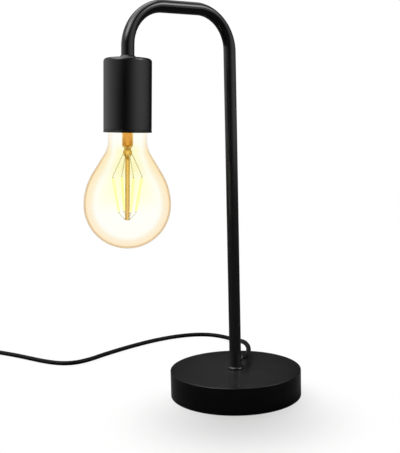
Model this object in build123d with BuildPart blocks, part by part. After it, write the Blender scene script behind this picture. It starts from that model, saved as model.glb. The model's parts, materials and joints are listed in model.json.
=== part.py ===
from build123d import *
import math
import os

# Table lamp with a bent tube, a cup lampholder, a filament bulb and a cord with a rocker switch.
# Millimetres. The origin is the middle of the base on the table, +Z is up and the arm points to -X.

os.makedirs("parts", exist_ok=True)

# Fits
slip = 0.1
seat_gap = 0.2
touch = 0.05

# Base
base_d = 120.0
base_h = 24.2
base_wall = 1.5
base_edge_r = 1.6
rim_lift = 0.2
pad_t = 1.5
pad_inset = 1.5
plate_t = 1.2
weight_t = 12.0
weight_edge = 1.0
post_d = 9.0
post_circle_d = 84.0
post_count = 3
plate_screw_d = 3.4
plate_screw_head_d = 5.6
plate_screw_len = 8.0

# Stem
stem_d = 10.8
stem_wall = 1.0
arm_z = 345.9
arm_reach = 101.4
bend_r = 33.5
leg_splay = 2.4
stem_washer_d = 24.0
stem_washer_t = 1.5
lock_washer_d = 17.0
lock_washer_t = 1.0
lock_washer_slit = 8.0
nut_flats = 14.0
nut_t = 3.6
stem_collar_d = 15.2
stem_collar_h = 2.6
stem_collar_bevel = 1.3

# Cord
cord_d = 4.6
cord_z = 32.9
cord_end_x = 1.0
cord_bow = 0.8
bushing_d = 6.2
bushing_rim_d = 7.2
bushing_rim_t = 1.0
bushing_proud = 0.6
wire_d = 1.8
wire_spread = 2.0
wire_inset = 1.9
wire_turn_r = 2.2

# Cup and lampholder, with heights measured down from the cup's top along the cup's axis
cup_drop = 43.7
cup_d = 39.4
cup_h = 59.5
cup_wall = 1.2
cup_top_t = 1.5
cup_corner_r = 2.6
cup_lip_h = 1.4
cup_lip_proud = 0.15
cup_groove = 0.25
cup_collar_d = 14.0
cup_collar_h = 2.4
cup_collar_flare = 1.1
tail_h = 10.0
holder_d = 33.0
holder_wall = 2.0
holder_top_t = 3.0
holder_cap_h = 14.0
insert_up = 4.5
insert_t = 2.5
terminal_y = 8.2
terminal_screw_d = 2.6
terminal_head_d = 5.4
terminal_head_h = 1.8
terminal_screw_len = 3.6
strip_w = 5.0
strip_t = 0.4
strip_drop = 1.7
strip_tip = 3.0
strip_root = 9.0

# Screw thread of the lampholder and the bulb
thread_pitch = 3.629
thread_mean_r = 12.665
thread_depth = 1.07
thread_gap = 0.25
shell_t = 0.4
shell_h = 19.1
skirt_below = 1.9
skirt_lip_gap = 0.2

# Bulb, with drops measured below the cup's lip
cap_t = 0.35
cap_h = 19.0
cap_lead = 3.7
tip_d = 9.2
tip_t = 1.3
insulator_h = 4.3
board_t = 1.2
board_drop = 6.0
capacitor_d = 6.4
capacitor_l = 7.0
glass_d = 71.1
glass_wall = 0.8
glass_mid_drop = 59.8
shoulder_r = 50.0
cone_angle = 29.0
neck_d = 32.0
neck_fillet = 18.0
neck_flare = 8.0
seal_d = 23.0
seal_h = 4.0
seal_in = 3.0
mount_d = 9.2
mount_wall = 0.9
mount_rim_gap = 0.1
mount_flare = 9.8
pinch_drop = 13.0
pinch_d = 4.6
bead_d = 7.4
bead_h = 5.0
post_glass_d = 3.7
post_drop = 71.0
button_d = 4.8
filament_d = 2.2
filament_top_r = 13.0
filament_top_drop = 35.8
filament_foot_r = 7.3
filament_foot_drop = 66.3
filament_count = 4
filament_turn = -8.0
lead_d = 0.7
hook_d = 0.6
lead_gap = 0.4

# Switch on the cord, lying along Y
switch_x = -182.0
switch_y = 231.0
switch_l = 62.0
switch_w = 22.6
switch_waist = 17.4
switch_h = 17.0
switch_wall = 1.6
switch_top_t = 2.4
switch_corner_r = 8.0
switch_foot_r = 2.0
switch_crown_r = 4.0
cord_axis_z = 8.0
dish_l = 37.0
dish_w = 12.6
dish_deep = 1.2
rocker_l = 26.4
rocker_w = 8.0
rocker_room = 1.5
rocker_side_room = 0.5
rocker_tilt = 6.5
rocker_high = 4.8
rocker_low = 3.4
rocker_belly = 2.2
rocker_edge_r = 0.6
rocker_sway_r = 20.0
pivot_z = 12.0
pivot_d = 2.0
pivot_l = 12.6
pivot_play = 0.05
lug_t = 1.7
lug_w = 4.4
stalk_d = 5.2
stalk_l = 5.0
plunger_d = 3.0
plunger_top = 4.2
spring_top = 1.5
spring_d = 2.3
spring_wire = 0.35
spring_turns = 4
seesaw_l = 16.0
seesaw_w = 4.0
seesaw_t = 0.8
fulcrum_z = 4.2
plunger_gap = 0.15
contact_y = 7.0
contact_l = 2.4
contact_gap = 0.08
seesaw_rib_r = 0.7
saddle_half = 1.5
saddle_gap = 0.1
brass_t = 0.6
block_l = 6.0
block_h = 5.0
block_y = 15.0
block_screw_d = 2.5
block_head_d = 4.8
block_head_h = 1.6
block_screw_len = 4.0
cord_in = 24.0
clamp_y = 25.7
clamp_l = 3.2
clamp_w = 11.6
clamp_t = 1.2
clamp_post_d = 4.0
clamp_post_x = 4.2
clamp_screw_d = 2.2
clamp_head_d = 3.6
clamp_head_h = 1.4
clamp_screw_len = 6.0
case_x = 5.9
case_y = 17.5
case_boss_d = 5.2
case_screw_d = 2.0
case_head_d = 3.6
case_head_h = 1.6
case_sink = 2.4
case_screw_len = 10.6
bypass_x = 5.4
bypass_z = 5.0

# Plug, lying along Y with its pins towards +Y
plug_x = -244.0
plug_y = 206.0
plug_l = 36.0
plug_w = 35.3
plug_h = 13.7
plug_neck_w = 15.0
plug_face_l = 11.0
plug_edge_r = 2.4
relief_l = 26.0
relief_root_d = 11.0
relief_end_d = 7.6
relief_grooves = 5
relief_groove_w = 2.0
relief_groove_deep = 0.9
plug_cord_in = 4.0
pin_d = 4.0
pin_l = 19.0
pin_bare = 9.0
pin_neck_d = 2.6
pin_spacing = 18.6
pin_in = 6.0
sleeve_d = 3.4

# Put-away coil and its tie
coil_y = 142.0
coil_r = 31.0
turn_pitch = 5.2
turns_in = 3
tie_t = 0.7
tie_w = 10.0
tie_room = 0.45
floor_gap = 0.05

# Sizes worked out from the ones above
base_r = base_d / 2
stem_r = stem_d / 2
bore_r = stem_r - stem_wall
hole_r = stem_r + slip
plate_top = pad_t + plate_t
weight_top = base_h - base_wall
weight_bottom = weight_top - weight_t
tail_z = plate_top + seat_gap
cup_r = cup_d / 2
cup_in_r = cup_r - cup_wall
nut_foot_h = cup_top_t + nut_t
holder_r = holder_d / 2
cap_rim_h = nut_foot_h + holder_cap_h
insert_top_h = cap_rim_h - insert_up
insert_foot_h = cap_rim_h + insert_t
shell_foot_h = insert_foot_h + shell_h
tip_h = insert_foot_h + strip_drop + touch * 2
cap_top_h = tip_h + cap_lead
cap_foot_h = cap_top_h + cap_h
glass_r = glass_d / 2
glass_mid_h = cup_h + glass_mid_drop
glass_top_h = cap_foot_h - seal_in
coil_x = switch_x - coil_r
coil_low_z = cord_d / 2 + tie_t + 2 * floor_gap
coil_high_z = coil_low_z + turn_pitch
lay_z = cord_d / 2 + floor_gap
plug_z = plug_h / 2

# The drop leg, the cup and the bulb share one axis, which splays out a little from upright
splay = math.radians(leg_splay)
leg_down = Vector(-math.sin(splay), 0, -math.cos(splay))
leg_side = Vector(math.cos(splay), 0, -math.sin(splay))
arm_corner = Vector(-arm_reach, 0, arm_z)
cup_top = arm_corner + leg_down * cup_drop
cup_axis = Axis(cup_top, -leg_down)
cup_section = Plane(origin=cup_top, x_dir=leg_side, z_dir=(0, -1, 0))

switch_floor = Plane(origin=(switch_x, switch_y, 0))
switch_section = Plane(origin=(switch_x, switch_y, 0), x_dir=(0, 1, 0), z_dir=(1, 0, 0))
tilt = math.radians(rocker_tilt)
rocker_section = Plane(
    origin=(switch_x, switch_y, pivot_z),
    x_dir=(0, math.cos(tilt), math.sin(tilt)),
    z_dir=(1, 0, 0),
)
seesaw_section = Plane(
    origin=(switch_x, switch_y, fulcrum_z),
    x_dir=(0, math.cos(tilt), -math.sin(tilt)),
    z_dir=(1, 0, 0),
)
along_cord = Plane(origin=(switch_x, switch_y, cord_axis_z), x_dir=(1, 0, 0), z_dir=(0, 1, 0))


def save(piece, name):
    """Label a finished piece and write it."""
    piece.part.label = name
    export_step(piece.part, f"parts/{name}.step")


def profile(plane, *points):
    """A closed flat outline of straight lines on a plane."""
    with BuildSketch(plane) as outline:
        with BuildLine():
            Polyline(*points, close=True)
        make_face()
    return outline.sketch


def cup_profile(*points):
    """A closed outline of (radius, height down from the cup's top) points beside the cup's axis."""
    return profile(cup_section, *[(radius, -height) for radius, height in points])


def cup_level(height):
    """The flat plane across the cup's axis, so far down from the cup's top."""
    return Plane(origin=cup_top + leg_down * height, x_dir=leg_side, z_dir=-leg_down)


def cup_point(radius, angle, height):
    """A point round the cup's axis."""
    turn = math.radians(angle)
    across = leg_side * (radius * math.cos(turn)) + Vector(0, radius * math.sin(turn), 0)
    return cup_top + across + leg_down * height


def upright(start, end):
    """The plane at the start of a straight rod, facing along it."""
    return Plane(origin=start, z_dir=end - start)


def hex_ring(flats, thickness, bore):
    """A hexagon nut blank standing on its foot."""
    with BuildPart() as nut:
        with BuildSketch():
            RegularPolygon(flats / 2, 6, major_radius=False)
            Circle(bore, mode=Mode.SUBTRACT)
        extrude(amount=thickness)
    return nut.part


def slotted_screw(head_diameter, head_height, shank_diameter, shank_length):
    """A screw with its head above the origin and its shank below."""
    slot_w = head_diameter / 5
    with BuildPart() as screw:
        Cylinder(head_diameter / 2, head_height, align=(Align.CENTER, Align.CENTER, Align.MIN))
        Cylinder(shank_diameter / 2, shank_length, align=(Align.CENTER, Align.CENTER, Align.MAX))
        with Locations((0, 0, head_height)):
            Box(head_diameter * 2, slot_w, head_height, mode=Mode.SUBTRACT)
    return screw.part


def thread_sleeve(inner_r, outer_r, height):
    """A rolled thread in sheet metal: a flat ring carried up a small helix without turning."""
    with BuildPart() as sleeve:
        with BuildLine() as lift:
            Helix(thread_pitch, height, thread_depth / 2)
        with BuildSketch():
            with Locations((thread_depth / 2, 0)):
                Circle(outer_r)
                Circle(inner_r, mode=Mode.SUBTRACT)
        sweep(path=lift.wire(), normal=(0, 0, 1))
    return sleeve.part


def thread_level(height):
    """The plane where a thread starts, turned so that both threads keep one phase."""
    turns = (shell_foot_h - height) / thread_pitch
    return cup_level(height) * Rotation(0, 0, 360 * turns)


def glass_outline(inset):
    """Half of the bulb's outline, moved in by the glass wall for its hollow."""
    lean = math.radians(cone_angle)
    arc_x = glass_r - shoulder_r
    arc_r = shoulder_r - inset
    ball_r = glass_r - inset
    neck_r = neck_d / 2 - inset
    seal_r = seal_d / 2 - inset
    cone_x = arc_x + arc_r * math.cos(lean)
    cone_h = glass_mid_h - arc_r * math.sin(lean)
    neck_h = cone_h - (cone_x - neck_r) / math.tan(lean)
    flare_h = glass_top_h + seal_h
    half = math.sqrt(0.5)
    wide = (ball_r, -glass_mid_h)
    foot = (0, -glass_mid_h - ball_r)
    with BuildSketch(cup_section) as outline:
        with BuildLine():
            FilletPolyline(
                (seal_r, -glass_top_h),
                (seal_r, -flare_h),
                (neck_r, -flare_h - neck_flare),
                (neck_r, -neck_h),
                (cone_x, -cone_h),
                radius=[neck_flare / 4, neck_flare / 2, neck_fillet + inset],
            )
            ThreePointArc(
                (cone_x, -cone_h),
                (
                    arc_x + arc_r * math.cos(lean / 2),
                    -glass_mid_h + arc_r * math.sin(lean / 2),
                ),
                wide,
            )
            ThreePointArc(wide, (ball_r * half, -glass_mid_h - ball_r * half), foot)
            Polyline(foot, (0, -glass_top_h), (seal_r, -glass_top_h))
        make_face()
    return outline.sketch


def switch_outline(height, inset):
    """The waisted plan of the switch at a height, moved in by a wall."""
    half_l = switch_l / 2 - inset
    half_w = switch_w / 2 - inset
    half_waist = switch_waist / 2 - inset
    with BuildSketch(switch_floor.offset(height)) as outline:
        with BuildLine():
            ThreePointArc((half_w, half_l), (half_waist, 0), (half_w, -half_l))
            Line((half_w, -half_l), (-half_w, -half_l))
            ThreePointArc((-half_w, -half_l), (-half_waist, 0), (-half_w, half_l))
            Line((-half_w, half_l), (half_w, half_l))
        make_face()
        fillet(outline.vertices(), switch_corner_r - inset)
    return outline.sketch


def cord_tube(name, points):
    """A round cord along straight runs joined by arcs as large as the runs allow."""
    run_share = 0.45
    stops = [Vector(*point) for point in points]
    radii = []
    for before, here, after in zip(stops, stops[1:], stops[2:]):
        run = min((here - before).length, (after - here).length)
        turn = (here - before).get_angle(after - here)
        radii.append(run_share * run / math.tan(math.radians(turn) / 2))
    with BuildPart() as tube:
        with BuildLine() as route:
            FilletPolyline(*stops, radius=radii)
        with BuildSketch(upright(stops[0], stops[1])):
            Circle(cord_d / 2)
        sweep(path=route.wire())
    length = route.wire().length
    full = math.pi * cord_d**2 / 4 * length
    print(name, "radii", [round(radius, 1) for radius in radii])
    print(name, "length", round(length, 1), "volume share", round(tube.part.volume / full, 4))
    return tube


# Base

with BuildPart() as foot_pad:
    Cylinder(
        base_r - base_wall - pad_inset,
        pad_t,
        align=(Align.CENTER, Align.CENTER, Align.MIN),
    )
save(foot_pad, "foot_pad")

with BuildPart() as base_plate:
    with BuildSketch(Plane.XY.offset(pad_t)):
        Circle(base_r - base_wall - seat_gap)
    extrude(amount=plate_t)
    with BuildSketch(Plane.XY.offset(pad_t)):
        with PolarLocations(post_circle_d / 2, post_count):
            Circle(plate_screw_head_d / 2 + slip)
    extrude(amount=plate_t, taper=45, mode=Mode.SUBTRACT)
    with PolarLocations(post_circle_d / 2, post_count):
        Hole(plate_screw_d / 2 + slip)
save(base_plate, "base_plate")

with BuildPart() as base_plate_screws:
    plate_screw = profile(
        Plane.XZ,
        (0, 0),
        (plate_screw_head_d / 2, 0),
        (plate_screw_d / 2, (plate_screw_head_d - plate_screw_d) / 2),
        (plate_screw_d / 2, plate_screw_len),
        (0, plate_screw_len),
    )
    plate_screw_solid = revolve(plate_screw, axis=Axis.Z, mode=Mode.PRIVATE)
    with Locations((0, 0, pad_t)):
        with PolarLocations(post_circle_d / 2, post_count):
            add(plate_screw_solid)
save(base_plate_screws, "base_plate_screws")

with BuildPart() as base_weight:
    weight_r = base_r - base_wall - seat_gap
    revolve(
        profile(
            Plane.XZ,
            (hole_r, weight_bottom),
            (weight_r, weight_bottom),
            (weight_r, weight_top - base_edge_r),
            (weight_r - base_edge_r, weight_top),
            (hole_r, weight_top),
        ),
        axis=Axis.Z,
    )
    chamfer(base_weight.faces().sort_by(Axis.Z)[0].outer_wire().edges(), weight_edge)
    with BuildSketch(Plane.XY.offset(plate_top)):
        with PolarLocations(post_circle_d / 2, post_count):
            Circle(post_d / 2)
    extrude(amount=weight_bottom - plate_top)
    with BuildSketch(Plane.XY.offset(plate_top)):
        with PolarLocations(post_circle_d / 2, post_count):
            Circle(plate_screw_d / 2 + touch)
    extrude(amount=plate_screw_len, mode=Mode.SUBTRACT)
save(base_weight, "base_weight")

with BuildPart() as base_shell:
    Cylinder(base_r, base_h, align=(Align.CENTER, Align.CENTER, Align.MIN))
    fillet(base_shell.faces().sort_by(Axis.Z)[-1].edges(), base_edge_r)
    with Locations((0, 0, weight_top)):
        Cylinder(
            base_r - base_wall,
            base_h,
            align=(Align.CENTER, Align.CENTER, Align.MAX),
            mode=Mode.SUBTRACT,
        )
    with Locations((0, 0, rim_lift)):
        Cylinder(
            base_d,
            base_h,
            align=(Align.CENTER, Align.CENTER, Align.MAX),
            mode=Mode.SUBTRACT,
        )
    Hole(hole_r)
save(base_shell, "base_shell")

with BuildPart() as stem_washer:
    washer_z = weight_bottom - stem_washer_t
    with BuildSketch(Plane.XY.offset(washer_z)):
        Circle(stem_washer_d / 2)
        Circle(hole_r, mode=Mode.SUBTRACT)
    extrude(amount=stem_washer_t)
save(stem_washer, "stem_washer")

with BuildPart() as stem_lock_washer:
    lock_z = washer_z - lock_washer_t
    revolve(
        profile(
            Plane.XZ,
            (hole_r, lock_z),
            (lock_washer_d / 2, lock_z),
            (lock_washer_d / 2, washer_z),
            (hole_r, washer_z),
        ),
        axis=Axis.Z,
        revolution_arc=360 - lock_washer_slit,
    )
save(stem_lock_washer, "stem_lock_washer")

nut_blank = hex_ring(nut_flats, nut_t, hole_r)
with BuildPart() as stem_nut:
    with Locations((0, 0, lock_z - nut_t)):
        add(nut_blank)
save(stem_nut, "stem_nut")

with BuildPart() as stem_collar:
    collar_r = stem_collar_d / 2
    revolve(
        profile(
            Plane.XZ,
            (hole_r, base_h),
            (collar_r, base_h),
            (collar_r, base_h + stem_collar_h - stem_collar_bevel),
            (collar_r - stem_collar_bevel, base_h + stem_collar_h),
            (hole_r, base_h + stem_collar_h),
        ),
        axis=Axis.Z,
    )
save(stem_collar, "stem_collar")

# Stem, cord bushing and inner wires

with BuildPart() as stem_tube:
    leg_end = cup_top + leg_down * tail_h
    with BuildLine() as stem_line:
        FilletPolyline((0, 0, tail_z), (0, 0, arm_z), arm_corner, leg_end, radius=bend_r)
    with BuildSketch(Plane.XY.offset(tail_z)):
        Circle(stem_r)
        Circle(bore_r, mode=Mode.SUBTRACT)
    sweep(path=stem_line.wire())
    with BuildSketch(Plane.YZ):
        with Locations((0, cord_z)):
            Circle(bushing_d / 2 + touch)
    extrude(amount=stem_d, mode=Mode.SUBTRACT)
save(stem_tube, "stem_tube")

with BuildPart() as cord_bushing:
    cord_hole_r = cord_d / 2 + touch
    rim_r = bushing_rim_d / 2
    snap_end = math.sqrt(bore_r**2 - rim_r**2) - slip
    with BuildSketch(Plane.YZ.offset(snap_end - bushing_rim_t)):
        with Locations((0, cord_z)):
            Circle(bushing_d / 2)
    extrude(amount=stem_r + bushing_proud - snap_end + bushing_rim_t)
    with BuildSketch(Plane.YZ.offset(snap_end - bushing_rim_t)):
        with Locations((0, cord_z)):
            Circle(rim_r)
    extrude(amount=bushing_rim_t)
    with BuildSketch(Plane.YZ.offset(snap_end)):
        with Locations((0, cord_z)):
            Circle(rim_r)
            Circle(bushing_d / 2 - touch, mode=Mode.SUBTRACT)
    extrude(amount=stem_r + bushing_proud - snap_end)
    with BuildSketch(Plane.XY.offset(cord_z - base_h)):
        Circle(hole_r)
        Circle(bore_r - slip, mode=Mode.SUBTRACT)
    wall_ring = extrude(amount=2 * base_h, mode=Mode.PRIVATE)
    with BuildSketch(Plane.YZ.offset(snap_end)):
        with Locations((0, cord_z)):
            Circle(bushing_rim_d)
            Circle(bushing_d / 2, mode=Mode.SUBTRACT)
    outside = extrude(amount=stem_d, mode=Mode.PRIVATE)
    add(wall_ring & outside, mode=Mode.SUBTRACT)
    with BuildSketch(Plane.YZ):
        with Locations((0, cord_z)):
            Circle(cord_hole_r)
    extrude(amount=stem_d, mode=Mode.SUBTRACT)
save(cord_bushing, "cord_bushing")


def stem_wire(side):
    """One insulated wire from the cord's end up the tube to its terminal."""
    y = side * wire_spread / 2
    turn_h = insert_top_h - terminal_head_h / 2
    arm_line = wire_inset * (1 - math.sin(splay)) / math.cos(splay)
    inside = leg_side * wire_inset
    leg_start = arm_corner + inside + leg_down * arm_line
    leg_foot = cup_top + inside + leg_down * turn_h
    end_y = side * (terminal_y - terminal_head_d / 2 - touch)
    with BuildPart() as wire:
        with BuildLine() as run:
            FilletPolyline(
                (cord_end_x, y, cord_z),
                (-wire_inset, y, cord_z),
                (-wire_inset, y, arm_z - wire_inset),
                (leg_start.X, y, leg_start.Z),
                (leg_foot.X, y, leg_foot.Z),
                (leg_foot.X, end_y, leg_foot.Z),
                radius=[wire_turn_r, bend_r - wire_inset, bend_r - wire_inset, wire_turn_r],
            )
        with BuildSketch(Plane(origin=(cord_end_x, y, cord_z), z_dir=(-1, 0, 0))):
            Circle(wire_d / 2)
        sweep(path=run.wire())
    return wire


live_wire = stem_wire(1)
save(live_wire, "live_wire")
neutral_wire = stem_wire(-1)
save(neutral_wire, "neutral_wire")

# Cup and lampholder

with BuildPart() as cup_collar:
    ring_r = cup_collar_d / 2
    revolve(
        cup_profile(
            (hole_r, 0),
            (ring_r, 0),
            (ring_r, -cup_collar_h / 3),
            (ring_r - cup_collar_flare, -cup_collar_h),
            (hole_r, -cup_collar_h),
        ),
        axis=cup_axis,
    )
save(cup_collar, "cup_collar")

with BuildPart() as socket_cup:
    lip_r = cup_r + cup_lip_proud
    groove_r = cup_r - cup_groove
    lip_top = cup_h - cup_lip_h
    revolve(
        cup_profile(
            (0, 0),
            (cup_r, 0),
            (cup_r, lip_top - 2 * cup_groove),
            (groove_r, lip_top - cup_groove),
            (groove_r, lip_top),
            (lip_r, lip_top),
            (lip_r, cup_h),
            (0, cup_h),
        ),
        axis=cup_axis,
    )
    fillet(socket_cup.faces().sort_by(cup_axis)[-1].edges(), cup_corner_r)
    with BuildSketch(cup_section):
        with BuildLine():
            FilletPolyline(
                (0, -cup_top_t),
                (cup_in_r, -cup_top_t),
                (cup_in_r, -cup_h),
                radius=cup_corner_r - cup_wall,
            )
            Polyline((cup_in_r, -cup_h), (0, -cup_h), (0, -cup_top_t))
        make_face()
    revolve(axis=cup_axis, mode=Mode.SUBTRACT)
    with BuildSketch(cup_level(cup_top_t)):
        Circle(hole_r)
    extrude(amount=cup_top_t, mode=Mode.SUBTRACT)
save(socket_cup, "socket_cup")

with BuildPart() as cup_nut:
    with Locations(cup_level(nut_foot_h)):
        add(nut_blank)
save(cup_nut, "cup_nut")

with BuildPart() as holder_cap:
    ceiling_h = nut_foot_h + holder_top_t
    revolve(
        cup_profile(
            (hole_r, nut_foot_h),
            (holder_r - holder_wall, nut_foot_h),
            (holder_r, ceiling_h),
            (holder_r, cap_rim_h),
            (holder_r - holder_wall, cap_rim_h),
            (holder_r - holder_wall, ceiling_h),
            (hole_r, ceiling_h),
        ),
        axis=cup_axis,
    )
save(holder_cap, "holder_cap")

terminal_places = [(wire_inset, terminal_y), (wire_inset, -terminal_y)]
with BuildPart() as holder_insert:
    plug_r = holder_r - holder_wall - slip
    revolve(
        cup_profile(
            (0, insert_top_h),
            (plug_r, insert_top_h),
            (plug_r, cap_rim_h),
            (holder_r, cap_rim_h),
            (holder_r, insert_foot_h),
            (0, insert_foot_h),
        ),
        axis=cup_axis,
    )
    with BuildSketch(cup_level(insert_top_h)):
        with Locations(*terminal_places):
            Circle(terminal_screw_d / 2 + touch)
    extrude(amount=-terminal_screw_len - touch, mode=Mode.SUBTRACT)
save(holder_insert, "holder_insert")

terminal_screw = slotted_screw(
    terminal_head_d, terminal_head_h, terminal_screw_d, terminal_screw_len
)
with BuildPart() as terminal_screws:
    with Locations(cup_level(insert_top_h)):
        with Locations(*terminal_places):
            add(terminal_screw)
save(terminal_screws, "terminal_screws")

with BuildPart() as centre_contact:
    root_h = insert_foot_h
    tip_face = insert_foot_h + strip_drop
    bend_in = strip_root / 2
    with BuildSketch(cup_section):
        with BuildLine():
            Polyline(
                (-strip_root, -root_h),
                (-bend_in, -root_h),
                (-strip_t, strip_t - tip_face),
                (strip_tip, strip_t - tip_face),
                (strip_tip, -tip_face),
                (-strip_t * 2, -tip_face),
                (-bend_in - strip_t, -root_h - strip_t),
                (-strip_root, -root_h - strip_t),
                close=True,
            )
        make_face()
    extrude(amount=strip_w / 2, both=True)
save(centre_contact, "centre_contact")

shell_inner_r = thread_mean_r + thread_gap
shell_sleeve = thread_sleeve(shell_inner_r, shell_inner_r + shell_t, shell_h)
with BuildPart() as screw_shell:
    with Locations(thread_level(shell_foot_h)):
        add(shell_sleeve)
save(screw_shell, "screw_shell")

with BuildPart() as holder_skirt:
    shell_crest = shell_inner_r + shell_t + thread_depth / 2
    bore = shell_crest + 3 * skirt_lip_gap
    skirt_foot_h = shell_foot_h + skirt_below
    revolve(
        cup_profile(
            (bore, insert_foot_h),
            (holder_r, insert_foot_h),
            (holder_r, skirt_foot_h),
            (shell_crest, skirt_foot_h),
            (shell_crest, shell_foot_h + skirt_lip_gap),
            (bore, shell_foot_h + skirt_lip_gap),
        ),
        axis=cup_axis,
    )
save(holder_skirt, "holder_skirt")

# Bulb

with BuildPart() as bulb_contact:
    tip_r = tip_d / 2
    revolve(
        cup_profile(
            (0, tip_h),
            (tip_r - tip_t, tip_h),
            (tip_r, tip_h + tip_t / 2),
            (tip_r, tip_h + tip_t),
            (0, tip_h + tip_t),
        ),
        axis=cup_axis,
    )
save(bulb_contact, "bulb_contact")

cap_root_r = thread_mean_r - cap_t - thread_depth / 2
with BuildPart() as bulb_insulator:
    collar_top = tip_h + tip_t + slip
    cone_r = cap_root_r - seat_gap
    revolve(
        cup_profile(
            (0, collar_top),
            (tip_r + tip_t / 2, collar_top),
            (cone_r, cap_top_h + insulator_h / 4),
            (cone_r, collar_top + insulator_h),
            (0, collar_top + insulator_h),
        ),
        axis=cup_axis,
    )
save(bulb_insulator, "bulb_insulator")

cap_sleeve = thread_sleeve(thread_mean_r - cap_t, thread_mean_r, cap_h)
with BuildPart() as bulb_cap:
    with Locations(thread_level(cap_foot_h)):
        add(cap_sleeve)
save(bulb_cap, "bulb_cap")

with BuildPart() as driver_board:
    board_h = cap_top_h + board_drop
    board_r = cap_root_r - 2 * seat_gap
    with BuildSketch(cup_level(board_h + board_t)):
        Circle(board_r)
    extrude(amount=board_t)
    with BuildSketch(cup_level(board_h + board_t)):
        with Locations((board_r / 2, 0)):
            Circle(capacitor_d / 2)
    extrude(amount=-capacitor_l)
    with BuildSketch(cup_level(board_h + board_t)):
        with Locations((-board_r / 2, 0)):
            Rectangle(capacitor_d * 0.7, capacitor_d)
    extrude(amount=-board_t * 2)
save(driver_board, "driver_board")

with BuildPart() as bulb_glass:
    revolve(glass_outline(0), axis=cup_axis)
    revolve(glass_outline(glass_wall), axis=cup_axis, mode=Mode.SUBTRACT)
save(bulb_glass, "bulb_glass")

pinch_h = cup_h + pinch_drop
bead_top_h = pinch_h + pinch_d / 2
bead_foot_h = bead_top_h + bead_h / 2
post_h = cup_h + post_drop
with BuildPart() as bulb_mount:
    tube_r = mount_d / 2
    tube_in_r = tube_r - mount_wall
    rim_out_r = seal_d / 2 - glass_wall - mount_rim_gap
    rim_h = glass_top_h + mount_wall
    rod_r = post_glass_d / 2
    revolve(
        cup_profile(
            (rim_out_r - mount_wall, rim_h),
            (rim_out_r, rim_h),
            (tube_r, rim_h + mount_flare),
            (tube_r, pinch_h - mount_wall * 2),
            (pinch_d / 2, pinch_h),
            (bead_d / 2, bead_top_h),
            (bead_d / 2, bead_foot_h),
            (rod_r, bead_top_h + bead_h),
            (rod_r, post_h - button_d / 4),
            (button_d / 2, post_h),
            (button_d / 2, post_h + button_d / 6),
            (0, post_h + button_d / 4),
            (0, pinch_h - mount_wall),
            (tube_in_r, pinch_h - mount_wall * 3),
            (tube_in_r, rim_h + mount_flare),
        ),
        axis=cup_axis,
    )
save(bulb_mount, "bulb_mount")

filament_angles = [filament_turn + 360 * i / filament_count for i in range(filament_count)]
with BuildPart() as filaments:
    for angle in filament_angles:
        head = cup_point(filament_top_r, angle, cup_h + filament_top_drop)
        foot = cup_point(filament_foot_r, angle, cup_h + filament_foot_drop)
        with Locations(upright(head, foot)):
            Cylinder(
                filament_d / 2,
                (foot - head).length,
                align=(Align.CENTER, Align.CENTER, Align.MIN),
            )
save(filaments, "filaments")

with BuildPart() as lead_wires:
    for angle in filament_angles:
        root = cup_point(bead_d / 2 + lead_d / 2, angle, bead_foot_h)
        head = cup_point(filament_top_r, angle, cup_h + filament_top_drop)
        end = head + (root - head).normalized() * lead_gap
        with Locations(upright(root, end)):
            Cylinder(
                lead_d / 2, (end - root).length, align=(Align.CENTER, Align.CENTER, Align.MIN)
            )
save(lead_wires, "lead_wires")

with BuildPart() as filament_hooks:
    for angle in filament_angles:
        foot = cup_point(filament_foot_r, angle, cup_h + filament_foot_drop)
        button = cup_point(button_d / 2 + hook_d / 2, angle, post_h)
        start = foot + (button - foot).normalized() * (lead_gap + filament_d / 4)
        with Locations(upright(start, button)):
            Cylinder(
                hook_d / 2,
                (button - start).length,
                align=(Align.CENTER, Align.CENTER, Align.MIN),
            )
save(filament_hooks, "filament_hooks")

# Switch

clamp_places = [(x, y) for x in (-clamp_post_x, clamp_post_x) for y in (-clamp_y, clamp_y)]
case_places = [(case_x, -case_y), (case_x, case_y)]
cord_end_places = [(0, -clamp_y), (0, clamp_y)]
cord_under_z = cord_axis_z - cord_d / 2
cord_over_z = cord_axis_z + cord_d / 2

with BuildPart() as switch_base:
    extrude(switch_outline(0, 0), amount=cord_axis_z)
    fillet(switch_base.faces().sort_by(Axis.Z)[0].edges(), switch_foot_r)
    extrude(
        switch_outline(switch_wall, switch_wall),
        amount=cord_axis_z,
        mode=Mode.SUBTRACT,
    )
    with BuildSketch(switch_floor.offset(switch_wall)):
        with Locations(*clamp_places):
            Circle(clamp_post_d / 2)
    extrude(amount=cord_over_z - touch - switch_wall)
    with BuildSketch(switch_floor.offset(switch_wall)):
        with Locations(*cord_end_places):
            Rectangle(cord_d, clamp_l)
    extrude(amount=cord_under_z - touch - switch_wall)
    with BuildSketch(switch_floor.offset(switch_wall)):
        with Locations(*case_places):
            Circle(case_boss_d / 2)
    extrude(amount=cord_axis_z - slip - switch_wall)
    with BuildSketch(switch_floor):
        with Locations(*case_places):
            Circle(case_screw_d / 2 + slip)
    extrude(amount=cord_axis_z, mode=Mode.SUBTRACT)
    with BuildSketch(switch_floor):
        with Locations(*case_places):
            Circle(case_head_d / 2 + slip)
    extrude(amount=case_sink, mode=Mode.SUBTRACT)
    with BuildSketch(switch_floor.offset(cord_over_z)):
        with Locations(*clamp_places):
            Circle(clamp_screw_d / 2 + touch)
    extrude(amount=-clamp_screw_len - touch, mode=Mode.SUBTRACT)
    with BuildSketch(along_cord):
        Circle(cord_d / 2 + touch)
    extrude(amount=switch_l, both=True, mode=Mode.SUBTRACT)
save(switch_base, "switch_base")

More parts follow.
